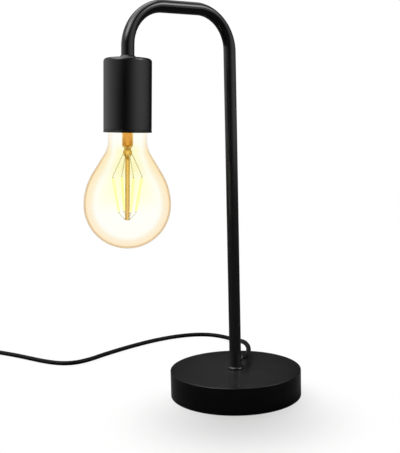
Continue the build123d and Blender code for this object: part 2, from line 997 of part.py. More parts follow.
ceiling_z = switch_h - switch_top_t
opening_l = rocker_l + 2 * rocker_room
opening_w = rocker_w + 2 * rocker_side_room
with BuildPart() as switch_cover:
    extrude(switch_outline(cord_axis_z, 0), amount=switch_h - cord_axis_z)
    fillet(switch_cover.faces().sort_by(Axis.Z)[-1].edges(), switch_crown_r)
    extrude(
        switch_outline(cord_axis_z, switch_wall),
        amount=ceiling_z - cord_axis_z,
        mode=Mode.SUBTRACT,
    )
    with BuildSketch(switch_floor.offset(switch_h)):
        SlotOverall(dish_l, dish_w, rotation=90)
    extrude(amount=-dish_deep, taper=30, mode=Mode.SUBTRACT)
    with BuildSketch(switch_floor.offset(ceiling_z)):
        SlotOverall(opening_l, opening_w, rotation=90)
    extrude(amount=switch_top_t, mode=Mode.SUBTRACT)
    lug_x = opening_w / 2 + slip + lug_t / 2
    with BuildSketch(switch_floor.offset(pivot_z - lug_w / 2)):
        with Locations((-lug_x, 0), (lug_x, 0)):
            Rectangle(lug_t, lug_w)
    extrude(amount=ceiling_z - pivot_z + lug_w / 2)
    with BuildSketch(switch_floor.offset(cord_axis_z)):
        with Locations(*case_places):
            Circle(case_boss_d / 2)
    extrude(amount=ceiling_z - cord_axis_z)
    with BuildSketch(switch_floor.offset(cord_axis_z)):
        with Locations(*case_places):
            Circle(case_screw_d / 2 + touch)
    extrude(amount=case_sink + case_screw_len - cord_axis_z + slip, mode=Mode.SUBTRACT)
    with BuildSketch(switch_section):
        with Locations((0, pivot_z)):
            Circle(pivot_d / 2 + touch / 2)
    extrude(amount=lug_x + lug_t, both=True, mode=Mode.SUBTRACT)
    with BuildSketch(along_cord):
        Circle(cord_d / 2 + touch)
    extrude(amount=switch_l, both=True, mode=Mode.SUBTRACT)
save(switch_cover, "switch_cover")

with BuildPart() as rocker:
    half_l = rocker_l / 2
    with BuildSketch(rocker_section):
        with BuildLine():
            FilletPolyline(
                (half_l, rocker_low),
                (half_l, rocker_high),
                (0, rocker_low),
                (-half_l, rocker_high),
                (-half_l, rocker_low),
                radius=[rocker_edge_r, rocker_sway_r, rocker_edge_r],
            )
            Polyline(
                (-half_l, rocker_low),
                (-half_l, rocker_belly),
                (-stalk_d, -rocker_belly),
                (stalk_d, -rocker_belly),
                (half_l, rocker_belly),
                (half_l, rocker_low),
            )
        make_face()
    extrude(amount=rocker_w / 2, both=True)
    rocker_plan = Plane(
        origin=rocker_section.origin, x_dir=rocker_section.x_dir, z_dir=rocker_section.y_dir
    )
    with BuildSketch(rocker_plan):
        SlotOverall(rocker_l, rocker_w)
    extrude(amount=rocker_high * 2, both=True, mode=Mode.INTERSECT)
    with BuildSketch(rocker_plan):
        Circle(stalk_d / 2)
    extrude(amount=-stalk_l)
    with BuildSketch(rocker_plan.offset(-stalk_l)):
        Circle(plunger_d / 2 + slip)
    extrude(amount=stalk_l - spring_top, mode=Mode.SUBTRACT)
    with BuildSketch(rocker_section):
        Circle(pivot_d / 2 + pivot_play)
    extrude(amount=rocker_w, both=True, mode=Mode.SUBTRACT)
save(rocker, "rocker")

with BuildPart() as rocker_pin:
    with BuildSketch(switch_section):
        with Locations((0, pivot_z)):
            Circle(pivot_d / 2)
    extrude(amount=pivot_l / 2, both=True)
save(rocker_pin, "rocker_pin")

tip_reach = pivot_z - fulcrum_z - seesaw_t - plunger_gap
with BuildPart() as rocker_plunger:
    ball_centre = plunger_d / 2 - tip_reach
    with BuildSketch(rocker_plan.offset(ball_centre)):
        Circle(plunger_d / 2)
    extrude(amount=-plunger_top - ball_centre)
    with Locations(rocker_plan.offset(ball_centre)):
        Sphere(plunger_d / 2)
save(rocker_plunger, "rocker_plunger")

with BuildPart() as plunger_spring:
    coil_h = plunger_top - spring_top - spring_wire - 2 * touch
    wire_r = spring_wire / 2
    turn_r = spring_d / 2
    with BuildLine() as spring_line:
        Helix(coil_h / spring_turns, coil_h, turn_r)
    with BuildSketch(Plane(origin=spring_line.line @ 0, z_dir=spring_line.line % 0)):
        Circle(wire_r)
    spring_solid = sweep(path=spring_line.wire(), is_frenet=True, mode=Mode.PRIVATE)
    with Locations(rocker_plan.offset(-plunger_top + wire_r + touch)):
        add(spring_solid)
save(plunger_spring, "plunger_spring")

with BuildPart() as seesaw_contact:
    with BuildSketch(seesaw_section):
        with Locations((0, seesaw_t / 2)):
            Rectangle(seesaw_l, seesaw_t)
        Circle(seesaw_rib_r)
    extrude(amount=seesaw_w / 2, both=True)
save(seesaw_contact, "seesaw_contact")

block_in = block_y - block_l / 2
block_out = block_y + block_l / 2
strip_top = switch_wall + brass_t
block_top = switch_wall + block_h
saddle_top = fulcrum_z - saddle_half * math.tan(tilt) - saddle_gap
contact_top = fulcrum_z - (contact_y + contact_l / 2) * math.tan(tilt) - contact_gap
with BuildPart() as fixed_contacts:
    contact_in = contact_y - contact_l / 2
    contact_out = contact_y + contact_l / 2
    live_side = profile(
        switch_section,
        (contact_in, switch_wall),
        (block_out, switch_wall),
        (block_out, block_top),
        (block_in, block_top),
        (block_in, strip_top),
        (contact_out, strip_top),
        (contact_out, contact_top),
        (contact_in, contact_top),
    )
    extrude(live_side, amount=seesaw_w / 2, both=True)
    saddle_side = profile(
        switch_section,
        (saddle_half, switch_wall),
        (saddle_half, saddle_top),
        (-saddle_half, saddle_top),
        (-saddle_half, strip_top),
        (-block_in, strip_top),
        (-block_in, block_top),
        (-block_out, block_top),
        (-block_out, switch_wall),
    )
    extrude(saddle_side, amount=seesaw_w / 2, both=True)
    with BuildSketch(switch_section):
        with Locations((0, fulcrum_z)):
            Circle(seesaw_rib_r + pivot_play)
    extrude(amount=seesaw_w / 2, both=True, mode=Mode.SUBTRACT)
    with BuildSketch(switch_floor.offset(block_top)):
        with Locations((0, -block_y), (0, block_y)):
            Circle(block_screw_d / 2 + touch)
    extrude(amount=-block_screw_len - touch, mode=Mode.SUBTRACT)
save(fixed_contacts, "fixed_contacts")

block_screw = slotted_screw(block_head_d, block_head_h, block_screw_d, block_screw_len)
with BuildPart() as switch_terminal_screws:
    with Locations(switch_floor.offset(block_top)):
        with Locations((0, -block_y), (0, block_y)):
            add(block_screw)
save(switch_terminal_screws, "switch_terminal_screws")


def switch_wire(points):
    """One insulated wire inside the switch, from points beside the switch's middle."""
    stops = [switch_floor.from_local_coords(Vector(*point)) for point in points]
    with BuildPart() as wire:
        with BuildLine() as run:
            FilletPolyline(*stops, radius=wire_d / 2)
        with BuildSketch(upright(stops[0], stops[1])):
            Circle(wire_d / 2)
        sweep(path=run.wire())
    return wire.part


lead_x = wire_spread / 2
wire_step = (cord_in - block_out) / 4
block_wire_z = switch_wall + block_h / 2
switch_wire_parts = []
for end in (-1, 1):
    switch_wire_parts.append(
        switch_wire(
            [
                (lead_x, end * cord_in, cord_axis_z),
                (lead_x, end * (cord_in - 1.5 * wire_step), cord_axis_z),
                (lead_x, end * (block_out + wire_step), block_wire_z),
                (lead_x, end * (block_out + touch), block_wire_z),
            ]
        )
    )
bypass_turn = block_out - block_l / 3
switch_wire_parts.append(
    switch_wire(
        [
            (-lead_x, cord_in, cord_axis_z),
            (-lead_x, cord_in - wire_step, cord_axis_z),
            (-bypass_x, bypass_turn, bypass_z),
            (-bypass_x, -bypass_turn, bypass_z),
            (-lead_x, -cord_in + wire_step, cord_axis_z),
            (-lead_x, -cord_in, cord_axis_z),
        ]
    )
)
with BuildPart() as switch_wires:
    for wire_part in switch_wire_parts:
        add(wire_part)
save(switch_wires, "switch_wires")

with BuildPart() as cord_clamps:
    with BuildSketch(switch_floor.offset(cord_over_z + touch)):
        with Locations(*cord_end_places):
            Rectangle(clamp_w, clamp_l)
        with Locations(*clamp_places):
            Circle(clamp_screw_d / 2 + slip, mode=Mode.SUBTRACT)
    extrude(amount=clamp_t)
save(cord_clamps, "cord_clamps")

clamp_screw = slotted_screw(clamp_head_d, clamp_head_h, clamp_screw_d, clamp_screw_len)
with BuildPart() as clamp_screws:
    with Locations(switch_floor.offset(cord_over_z + touch + clamp_t)):
        with Locations(*clamp_places):
            add(clamp_screw)
save(clamp_screws, "clamp_screws")

case_screw = slotted_screw(case_head_d, case_head_h, case_screw_d, case_screw_len)
with BuildPart() as case_screws:
    with Locations(Plane(origin=(switch_x, switch_y, case_sink), x_dir=(1, 0, 0), z_dir=(0, 0, -1))):
        with Locations(*[(x, -y) for x, y in case_places]):
            add(case_screw)
save(case_screws, "case_screws")

# Plug

plug_face_y = plug_y + plug_l
plug_plan = Plane(origin=(plug_x, plug_y, plug_z))
plug_front = Plane(origin=(plug_x, plug_face_y, plug_z), x_dir=(-1, 0, 0), z_dir=(0, 1, 0))
plug_axis = Axis((plug_x, plug_y, plug_z), (0, 1, 0))
pin_places = [(-pin_spacing / 2, 0), (pin_spacing / 2, 0)]
with BuildPart() as plug_body:
    half_w = plug_w / 2
    half_neck = plug_neck_w / 2
    extrude(
        profile(
            plug_plan,
            (half_neck, 0),
            (half_w, plug_l - plug_face_l),
            (half_w, plug_l),
            (-half_w, plug_l),
            (-half_w, plug_l - plug_face_l),
            (-half_neck, 0),
        ),
        amount=plug_z,
        both=True,
    )
    fillet(plug_body.edges(), plug_edge_r)
    taper = (relief_root_d - relief_end_d) / 2 / relief_l
    relief_points = [(0, plug_edge_r), (relief_root_d / 2, plug_edge_r), (relief_root_d / 2, 0)]
    groove_step = relief_l / (relief_grooves + 1)
    for groove in range(1, relief_grooves + 1):
        for side in (-1, 1):
            at = groove * groove_step + side * relief_groove_w / 2
            high = relief_root_d / 2 - taper * at
            low = high - relief_groove_deep
            radii = (high, low) if side < 0 else (low, high)
            relief_points += [(radius, -at) for radius in radii]
    relief_points += [(relief_end_d / 2, -relief_l), (0, -relief_l)]
    revolve(
        profile(Plane(origin=(plug_x, plug_y, plug_z), z_dir=(0, 0, 1)), *relief_points),
        axis=plug_axis,
    )
    with BuildSketch(plug_front.offset(-plug_l - relief_l)):
        Circle(cord_d / 2 + touch)
    extrude(amount=plug_cord_in + touch, mode=Mode.SUBTRACT)
    with BuildSketch(plug_front):
        with Locations(*pin_places):
            Circle(pin_neck_d / 2 + touch)
    extrude(amount=-pin_in - touch, mode=Mode.SUBTRACT)
save(plug_body, "plug_body")

with BuildPart() as plug_pins:
    with BuildSketch(plug_front.offset(-pin_in)):
        with Locations(*pin_places):
            Circle(pin_neck_d / 2)
    extrude(amount=pin_in + pin_l - pin_bare)
    with BuildSketch(plug_front.offset(pin_l - pin_bare)):
        with Locations(*pin_places):
            Circle(pin_d / 2)
    extrude(amount=pin_bare)
    fillet(plug_pins.faces().group_by(Axis.Y)[-1].edges(), pin_d / 4)
save(plug_pins, "plug_pins")

with BuildPart() as pin_sleeves:
    with BuildSketch(plug_front):
        with Locations(*pin_places):
            Circle(sleeve_d / 2)
            Circle(pin_neck_d / 2 + touch, mode=Mode.SUBTRACT)
    extrude(amount=pin_l - pin_bare)
save(pin_sleeves, "pin_sleeves")

# Cord: from the lamp to the switch, then to the coil, and on to the plug

lamp_route = [
    (cord_end_x, 0, cord_z),
    (11, 0, cord_z),
    (17.4, 4.3, cord_z),
    (30.5, 18.6, 32.3),
    (41.7, 34.8, 31.2),
    (51.8, 52.6, 28.7),
    (64, 72.8, 23.6),
    (86, 106, 13.4),
    (101, 137, 6.0),
    (109, 162, lay_z),
    (103, 182.5, lay_z),
    (88.5, 196, lay_z),
    (65, 203.5, lay_z),
    (35, 204, lay_z),
    (1, 198.5, lay_z),
    (-34, 189.5, lay_z),
    (-58, 181, lay_z),
    (-76, 179.5, lay_z),
    (-89, 187.5, lay_z),
    (-98, 203, lay_z),
    (-105, 222, lay_z),
    (-113, 246, lay_z),
    (-123, 269, lay_z),
    (-132, 290, lay_z),
    (-144, 304, lay_z),
    (-160, 309, lay_z),
    (-174, 303, 2.4),
    (-181.5, 289, 4.4),
    (switch_x, 270.5, cord_axis_z),
    (switch_x, switch_y + cord_in, cord_axis_z),
]
lamp_cord = cord_tube("lamp_cord", lamp_route)
save(lamp_cord, "lamp_cord")

switch_route = [
    (switch_x, switch_y - cord_in, cord_axis_z),
    (switch_x, 191.5, cord_axis_z),
    (switch_x - cord_bow, 174, 4.6),
    (switch_x, 157.5, coil_low_z),
    (switch_x, coil_y + cord_d, coil_low_z),
]
switch_lead = cord_tube("switch_lead", switch_route)
save(switch_lead, "switch_lead")

plug_route = [
    (coil_x - coil_r, coil_y + cord_d, coil_high_z),
    (coil_x - coil_r, 155, coil_high_z),
    (plug_x + cord_bow, 165, 5.6),
    (plug_x, 175, plug_z),
    (plug_x, plug_y - relief_l + plug_cord_in, plug_z),
]
plug_lead = cord_tube("plug_lead", plug_route)
save(plug_lead, "plug_lead")

# The coil spirals in on the lower layer, climbs in the half turn where it reverses, and spirals out
half_turns = 2 * turns_in
inner_r = coil_r - turns_in * turn_pitch
coil_steps = [(coil_r - i * turn_pitch / 2, coil_low_z) for i in range(half_turns + 1)]
coil_steps.append((inner_r - turn_pitch / 2, coil_high_z))
coil_steps += [(inner_r + i * turn_pitch / 2, coil_high_z) for i in range(1, half_turns + 1)]
coil_stops = []
for i, (radius, height) in enumerate(coil_steps):
    coil_stops.append(Vector(coil_x + radius * (-1) ** i, coil_y, height))
straight = Vector(0, cord_d, 0)
with BuildPart() as cord_coil:
    with BuildLine() as coil_line:
        Line(coil_stops[0] + straight, coil_stops[0])
        for i, (start, end) in enumerate(zip(coil_stops, coil_stops[1:])):
            bulge = Vector(0, (end - start).length / 2 * (-1) ** (i + 1), 0)
            ThreePointArc(start, (start + end) / 2 + bulge, end)
        Line(coil_stops[-1], coil_stops[-1] + straight)
    with BuildSketch(upright(coil_stops[0] + straight, coil_stops[0])):
        Circle(cord_d / 2)
    sweep(path=coil_line.wire())
save(cord_coil, "cord_coil")

coil_wire = coil_line.wire()
coil_length = coil_wire.length
sample_count = 480
samples = [coil_wire.position_at(i / sample_count) for i in range(sample_count + 1)]
skip = math.ceil(sample_count * math.pi * inner_r / coil_length)
least = min(
    (samples[i] - samples[j]).length
    for i in range(len(samples))
    for j in range(i + skip, len(samples))
)
coil_full = math.pi * cord_d**2 / 4 * coil_length
print("cord_coil length", round(coil_length, 1), "least gap", round(least - cord_d, 2))
print("cord_coil volume share", round(cord_coil.part.volume / coil_full, 4))

with BuildPart() as coil_tie:
    off_centre = (tie_w + turn_pitch) / 2
    near_y = coil_y + math.sqrt(inner_r**2 - off_centre**2) - cord_d / 2 - tie_room
    far_y = coil_y + coil_r - 0.75 * turn_pitch + cord_d / 2 + tie_room
    low_z = coil_low_z - cord_d / 2 - floor_gap
    high_z = coil_high_z + cord_d / 2 + floor_gap
    tie_section = Plane(origin=(coil_x, 0, 0), x_dir=(0, 1, 0), z_dir=(1, 0, 0))
    tie_middle = ((near_y + far_y) / 2, (low_z + high_z) / 2)
    with BuildSketch(tie_section):
        with Locations(tie_middle):
            RectangleRounded(far_y - near_y + 2 * tie_t, high_z - low_z + 2 * tie_t, 2 * tie_t)
            RectangleRounded(far_y - near_y, high_z - low_z, tie_t, mode=Mode.SUBTRACT)
    extrude(amount=tie_w / 2, both=True)
save(coil_tie, "coil_tie")

print("cup top", [round(value, 3) for value in cup_top])
print("cup axis down", [round(value, 6) for value in leg_down])
print("thread advance per radian", thread_pitch / 2 / math.pi)
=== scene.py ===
# %% [markdown]
# # A black table lamp with a filament bulb
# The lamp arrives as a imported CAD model. Its sizes, places and joints are fixed there, so this
# notebook only dresses it: it makes smooth visible pieces over the CAD ones, lays the cord, mixes
# the finishes, and sets up a small studio with the camera where the photographer stood.

# %% Load the lamp
import json
import math

import bmesh
import bpy
from mathutils import Matrix, Vector


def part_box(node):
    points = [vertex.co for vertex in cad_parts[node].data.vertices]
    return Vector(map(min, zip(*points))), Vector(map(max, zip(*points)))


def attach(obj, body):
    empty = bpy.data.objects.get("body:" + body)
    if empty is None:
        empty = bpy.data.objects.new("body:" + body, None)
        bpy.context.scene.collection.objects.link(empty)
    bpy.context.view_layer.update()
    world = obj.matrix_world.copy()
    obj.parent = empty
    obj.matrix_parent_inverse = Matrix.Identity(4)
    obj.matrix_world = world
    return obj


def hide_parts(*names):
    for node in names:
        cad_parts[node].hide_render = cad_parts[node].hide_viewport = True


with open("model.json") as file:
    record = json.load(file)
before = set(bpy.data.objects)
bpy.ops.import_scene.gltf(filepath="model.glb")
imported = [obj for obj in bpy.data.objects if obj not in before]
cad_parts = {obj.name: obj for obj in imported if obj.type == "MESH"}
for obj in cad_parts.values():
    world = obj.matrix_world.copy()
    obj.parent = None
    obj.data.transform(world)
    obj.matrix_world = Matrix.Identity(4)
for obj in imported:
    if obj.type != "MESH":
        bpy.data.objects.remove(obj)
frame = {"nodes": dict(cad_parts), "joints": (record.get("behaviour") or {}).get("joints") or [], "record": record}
nodes = frame["nodes"]
joints = {joint["name"]: joint for joint in frame["joints"]}
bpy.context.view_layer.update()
MM = 0.001

# %% [markdown]
# ## The camera
# The photograph was measured first: the base's ellipse, the stem and the bulb give the lens, the
# height and the small roll of the camera. The lamp stands turned by about 35 degrees, so the
# camera's axes are written for the photograph and then turned into the lamp's frame.

# %% Camera
PHOTO_H = 453
FOCAL_PX = 818.4
LAMP_TURN = 0.6041
CAMERA_PITCH = 0.1215
CAMERA_ROLL = -0.0236
CAMERA_AT = Vector((-29.64, -733.99, 246.23)) * MM
SENSOR = 36.0

photo_to_lamp = Matrix.Rotation(-LAMP_TURN, 3, "Z")
level_right = Vector((1, 0, 0))
level_up = Vector((0, math.sin(CAMERA_PITCH), math.cos(CAMERA_PITCH)))
roll_cos, roll_sin = math.cos(CAMERA_ROLL), math.sin(CAMERA_ROLL)
camera_right = photo_to_lamp @ (level_right * roll_cos + level_up * roll_sin)
camera_up = photo_to_lamp @ (level_up * roll_cos - level_right * roll_sin)
camera_back = camera_right.cross(camera_up)

camera_data = bpy.data.cameras.new("photo_camera")
camera_data.sensor_width = SENSOR
camera_data.lens = SENSOR * FOCAL_PX / PHOTO_H
camera_data.clip_start = 0.01
camera = bpy.data.objects.new("photo_camera", camera_data)
camera_axes = Matrix((camera_right, camera_up, camera_back)).transposed()
camera.matrix_world = Matrix.Translation(photo_to_lamp @ CAMERA_AT) @ camera_axes.to_4x4()
bpy.context.scene.collection.objects.link(camera)
bpy.context.scene.camera = camera
print("lens", round(camera_data.lens, 2))

# %% [markdown]
# ## Shared effects
# A real finish is never one flat value. Three small node groups give every material its detail: a drifting tone, a
# fine grain for roughness and bump, and a mask for a painted highlight along sharp edges. Each group puts out
# colours or values only, and the shader itself stays in the material.

# %% Node groups
DRIFT_DETAIL = 3
CLOUD_SCALE, CLOUD_DETAIL = 55, 4
CLOUD_LOW, CLOUD_HIGH = 0.3, 0.7
SPECK_DETAIL = 2


def new_group(name, inputs, outputs):
    """An empty shader group with named sockets, each given as (name, kind)."""
    group = bpy.data.node_groups.new(name, "ShaderNodeTree")
    for label, kind in inputs:
        group.interface.new_socket(label, in_out="INPUT", socket_type="NodeSocket" + kind)
    for label, kind in outputs:
        group.interface.new_socket(label, in_out="OUTPUT", socket_type="NodeSocket" + kind)
    return group, group.nodes.new("NodeGroupInput"), group.nodes.new("NodeGroupOutput")


def drift_group():
    """Two tones that wander into each other over the surface."""
    group, given, result = new_group(
        "tone_drift",
        [("Tone A", "Color"), ("Tone B", "Color"), ("Scale", "Float")],
        [("Color", "Color")],
    )
    place = group.nodes.new("ShaderNodeTexCoord")
    noise = group.nodes.new("ShaderNodeTexNoise")
    noise.inputs["Detail"].default_value = DRIFT_DETAIL
    mix = group.nodes.new("ShaderNodeMix")
    mix.data_type = "RGBA"
    link = group.links.new
    link(place.outputs["Object"], noise.inputs["Vector"])
    link(given.outputs["Scale"], noise.inputs["Scale"])
    link(noise.outputs["Fac"], mix.inputs["Factor"])
    link(given.outputs["Tone A"], mix.inputs["A"])
    link(given.outputs["Tone B"], mix.inputs["B"])
    link(mix.outputs["Result"], result.inputs["Color"])
    return group


def grain_group():
    """A fine grain: roughness between two limits, and a height for a bump."""
    group, given, result = new_group(
        "fine_grain",
        [("Scale", "Float"), ("Smooth", "Float"), ("Rough", "Float")],
        [("Roughness", "Float"), ("Height", "Float")],
    )
    place = group.nodes.new("ShaderNodeTexCoord")
    cloud = group.nodes.new("ShaderNodeTexNoise")
    cloud.inputs["Scale"].default_value = CLOUD_SCALE
    cloud.inputs["Detail"].default_value = CLOUD_DETAIL
    speck = group.nodes.new("ShaderNodeTexNoise")
    speck.inputs["Detail"].default_value = SPECK_DETAIL
    limits = group.nodes.new("ShaderNodeMapRange")
    limits.inputs["From Min"].default_value = CLOUD_LOW
    limits.inputs["From Max"].default_value = CLOUD_HIGH
    link = group.links.new
    link(place.outputs["Object"], cloud.inputs["Vector"])
    link(place.outputs["Object"], speck.inputs["Vector"])
    link(given.outputs["Scale"], speck.inputs["Scale"])
    link(cloud.outputs["Fac"], limits.inputs["Value"])
    link(given.outputs["Smooth"], limits.inputs["To Min"])
    link(given.outputs["Rough"], limits.inputs["To Max"])
    link(limits.outputs["Result"], result.inputs["Roughness"])
    link(speck.outputs["Fac"], result.inputs["Height"])
    return group


def edge_highlight_group():
    """A mask that is 1 along sharp outer edges, where a lighter colour paints a highlight."""
    group, given, result = new_group(
        "edge_highlight_mask", [("Start", "Float"), ("End", "Float")], [("Mask", "Float")]
    )
    shape = group.nodes.new("ShaderNodeNewGeometry")
    limits = group.nodes.new("ShaderNodeMapRange")
    link = group.links.new
    link(shape.outputs["Pointiness"], limits.inputs["Value"])
    link(given.outputs["Start"], limits.inputs["From Min"])
    link(given.outputs["End"], limits.inputs["From Max"])
    link(limits.outputs["Result"], result.inputs["Mask"])
    return group


TONE_DRIFT = drift_group()
FINE_GRAIN = grain_group()
EDGE_HIGHLIGHT_MASK = edge_highlight_group()
print("groups", [group.name for group in bpy.data.node_groups])

# %% [markdown]
# ## Finishes
# Most of the lamp shares one recipe: a tone that drifts a little, a grain that changes the gloss,
# and a faint bump. Only the numbers differ between paint, plastic, steel and brass, so one function
# mixes them all, and the values that make each finish are listed by name.

# %% Finish mixer
DRIFT_SCALE = 28
BUMP_DEPTH = 0.2
EDGE_FROM, EDGE_FULL = 0.52, 0.62


def plug_group(material, group, **values):
    """Place a group in a material and set its inputs."""
    node = material.node_tree.nodes.new("ShaderNodeGroup")
    node.node_tree = group
    for label, value in values.items():
        node.inputs[label.replace("_", " ")].default_value = value
    return node


def opaque_finish(name, tones, gloss, grain, bump, metallic=0.0, specular=0.5, edge=None):
    """A solid finish from two tones, two roughness limits, a grain scale and a bump height."""
    material = bpy.data.materials.new(name)
    material.use_nodes = True
    shader = material.node_tree.nodes["Principled BSDF"]
    link = material.node_tree.links.new
    tone = plug_group(
        material, TONE_DRIFT, Tone_A=(*tones[0], 1), Tone_B=(*tones[1], 1), Scale=DRIFT_SCALE
    )
    fine = plug_group(material, FINE_GRAIN, Scale=grain, Smooth=gloss[0], Rough=gloss[1])
    colour = tone.outputs["Color"]
    # The edge colour is a painted highlight along sharp edges.
    if edge:
        mask = plug_group(material, EDGE_HIGHLIGHT_MASK, Start=EDGE_FROM, End=EDGE_FULL)
        edge_lit = material.node_tree.nodes.new("ShaderNodeMix")
        edge_lit.data_type = "RGBA"
        edge_lit.inputs["B"].default_value = (*edge, 1)
        link(mask.outputs["Mask"], edge_lit.inputs["Factor"])
        link(colour, edge_lit.inputs["A"])
        colour = edge_lit.outputs["Result"]
    relief = material.node_tree.nodes.new("ShaderNodeBump")
    relief.inputs["Strength"].default_value = bump
    relief.inputs["Distance"].default_value = BUMP_DEPTH * MM
    link(colour, shader.inputs["Base Color"])
    link(fine.outputs["Roughness"], shader.inputs["Roughness"])
    link(fine.outputs["Height"], relief.inputs["Height"])
    link(relief.outputs["Normal"], shader.inputs["Normal"])
    shader.inputs["Metallic"].default_value = metallic
    shader.inputs["Specular IOR Level"].default_value = specular
    return material


print("mixer ready, groups", len(bpy.data.node_groups))

# %% [markdown]
# The stem, the cup and the base are satin black. The base's coat is a little rougher and less
# reflective, because its wide flat top mirrors the studio's bright panels when seen from behind. It
# still looks pale grey from there.

# %% Paints and plastics
# A lighter black for sharp edges: a painted highlight, such as the thin bright line along the base's top rim.
EDGE_HIGHLIGHT_BLACK = (0.040, 0.039, 0.040)
BLACK_PAINT = opaque_finish(
    "satin_black_paint",
    tones=[(0.0036, 0.0034, 0.0037), (0.0052, 0.0050, 0.0053)],
    gloss=(0.15, 0.21),
    grain=1400,
    bump=0.03,
    specular=0.30,
    edge=EDGE_HIGHLIGHT_BLACK,
)
BASE_PAINT = opaque_finish(
    "satin_black_base",
    # The base's tones are a little lighter than the other black paint: painted light that makes up for the
    # reflection its lower gloss gives up.
    tones=[(0.0056, 0.0054, 0.0057), (0.0076, 0.0074, 0.0077)],
    gloss=(0.20, 0.26),
    grain=1400,
    bump=0.03,
    specular=0.15,
    edge=EDGE_HIGHLIGHT_BLACK,
)
SWITCH_BLACK = opaque_finish(
    "moulded_black_plastic",
    tones=[(0.010, 0.010, 0.011), (0.017, 0.016, 0.018)],
    gloss=(0.34, 0.46),
    grain=1900,
    bump=0.22,
    specular=0.45,
    # Lighter edges: a painted highlight.
    edge=(0.05, 0.05, 0.052),
)
CORD_BLACK = opaque_finish(
    "cord_sheath",
    tones=[(0.004, 0.004, 0.004), (0.007, 0.007, 0.007)],
    gloss=(0.40, 0.52),
    grain=1600,
    bump=0.12,
    specular=0.06,
)
PAD_FOAM = opaque_finish(
    "pad_foam",
    tones=[(0.020, 0.020, 0.021), (0.040, 0.040, 0.041)],
    gloss=(0.85, 0.95),
    grain=700,
    bump=0.6,
    specular=0.2,
)
HOLDER_BLACK = opaque_finish(
    "holder_plastic",
    tones=[(0.012, 0.012, 0.012), (0.02, 0.02, 0.02)],
    gloss=(0.45, 0.6),
    grain=1500,
    bump=0.2,
    specular=0.4,
)
print("paints and plastics", len(bpy.data.materials))

# %% [markdown]
# Bare metals: the iron weight, zinc plated steel, brass contacts, nickel pins, the bulb's cap and
# the bulb's fine wires.

# %% Metals
CAST_IRON = opaque_finish(
    "weight_iron",
    tones=[(0.10, 0.10, 0.105), (0.19, 0.185, 0.18)],
    gloss=(0.55, 0.75),
    grain=400,
    bump=0.7,
    metallic=0.8,
)
ZINC_STEEL = opaque_finish(
    "zinc_steel",
    tones=[(0.56, 0.57, 0.58), (0.68, 0.68, 0.67)],
    gloss=(0.24, 0.40),
    grain=900,
    bump=0.08,
    metallic=1.0,
)
CONTACT_BRASS = opaque_finish(
    "contact_brass",
    tones=[(0.72, 0.50, 0.20), (0.83, 0.62, 0.30)],
    gloss=(0.22, 0.38),
    grain=900,
    bump=0.08,
    metallic=1.0,
)
PLATED_PIN = opaque_finish(
    "nickel_pin",
    tones=[(0.46, 0.45, 0.42), (0.54, 0.53, 0.50)],
    gloss=(0.20, 0.32),
    grain=1200,
    bump=0.04,
    metallic=1.0,
)
CAP_METAL = opaque_finish(
    "cap_metal",
    tones=[(0.66, 0.66, 0.66), (0.76, 0.76, 0.77)],
    gloss=(0.20, 0.32),
    grain=900,
    bump=0.06,
    metallic=1.0,
)
LEAD_METAL = opaque_finish(
    "lead_wire",
    tones=[(0.62, 0.58, 0.40), (0.72, 0.68, 0.50)],
    gloss=(0.3, 0.4),
    grain=1500,
    bump=0.02,
    metallic=0.3,
)
print("with metals", len(bpy.data.materials))

# %% [markdown]
# What is left is hidden inside: the lampholder's ceramic, the cap's black glass, the wires and the
# bulb's board.

# %% Inner finishes
CERAMIC = opaque_finish(
    "holder_ceramic",
    tones=[(0.72, 0.70, 0.66), (0.80, 0.79, 0.75)],
    gloss=(0.45, 0.6),
    grain=800,
    bump=0.2,
)
BLACK_GLASS = opaque_finish(
    "cap_insulator",
    tones=[(0.008, 0.008, 0.010), (0.014, 0.014, 0.016)],
    gloss=(0.08, 0.16),
    grain=300,
    bump=0.05,
)
BROWN_WIRE = opaque_finish(
    "brown_wire",
    tones=[(0.12, 0.045, 0.018), (0.16, 0.06, 0.025)],
    gloss=(0.35, 0.45),
    grain=1500,
    bump=0.05,
)
BLUE_WIRE = opaque_finish(
    "blue_wire",
    tones=[(0.02, 0.07, 0.30), (0.03, 0.10, 0.38)],
    gloss=(0.35, 0.45),
    grain=1500,
    bump=0.05,
)
BOARD_GREEN = opaque_finish(
    "driver_board",
    tones=[(0.02, 0.11, 0.05), (0.03, 0.15, 0.07)],
    gloss=(0.3, 0.45),
    grain=1200,
    bump=0.1,
)
print("opaque finishes", len(bpy.data.materials))

# %% [markdown]
# The bulb is blown from clear glass with a thin amber tint. A wall of glass looks deeper in colour
# where you look along it, so the tint follows the angle of the surface: pale straw in the middle,
# orange at the rim. The filaments are rods under a yellow coat that glows.

# %% Glass mixer
# The bulb's height colour is a painted glow: the glass turns yellow round the filaments' height, most in the
# middle.
BULB_FOOT, BULB_HEAD = 145, 245
MIDDLE_REACH = 0.30
MIDDLE_HEIGHT_SHARE, SIDE_HEIGHT_SHARE = 1.0, 0.15


def colour_ramp(tree, value, stops):
    """A ramp of (position, colour) stops along a value."""
    ramp = tree.nodes.new("ShaderNodeValToRGB")
    band = ramp.color_ramp
    band.interpolation = "EASE"
    while len(band.elements) < len(stops):
        band.elements.new(1.0)
    for element, (position, colour) in zip(band.elements, stops):
        element.position = position
        element.color = (*colour, 1)
    tree.links.new(value, ramp.inputs["Fac"])
    return ramp.outputs["Color"]


def height_share(tree, low, high):
    """How far a point is between two heights in millimetres, from 0 to 1."""
    place = tree.nodes.new("ShaderNodeTexCoord")
    split = tree.nodes.new("ShaderNodeSeparateXYZ")
    share = tree.nodes.new("ShaderNodeMapRange")
    share.inputs["From Min"].default_value = low * MM
    share.inputs["From Max"].default_value = high * MM
    tree.links.new(place.outputs["Object"], split.inputs["Vector"])
    tree.links.new(split.outputs["Z"], share.inputs["Value"])
    return share.outputs["Result"]


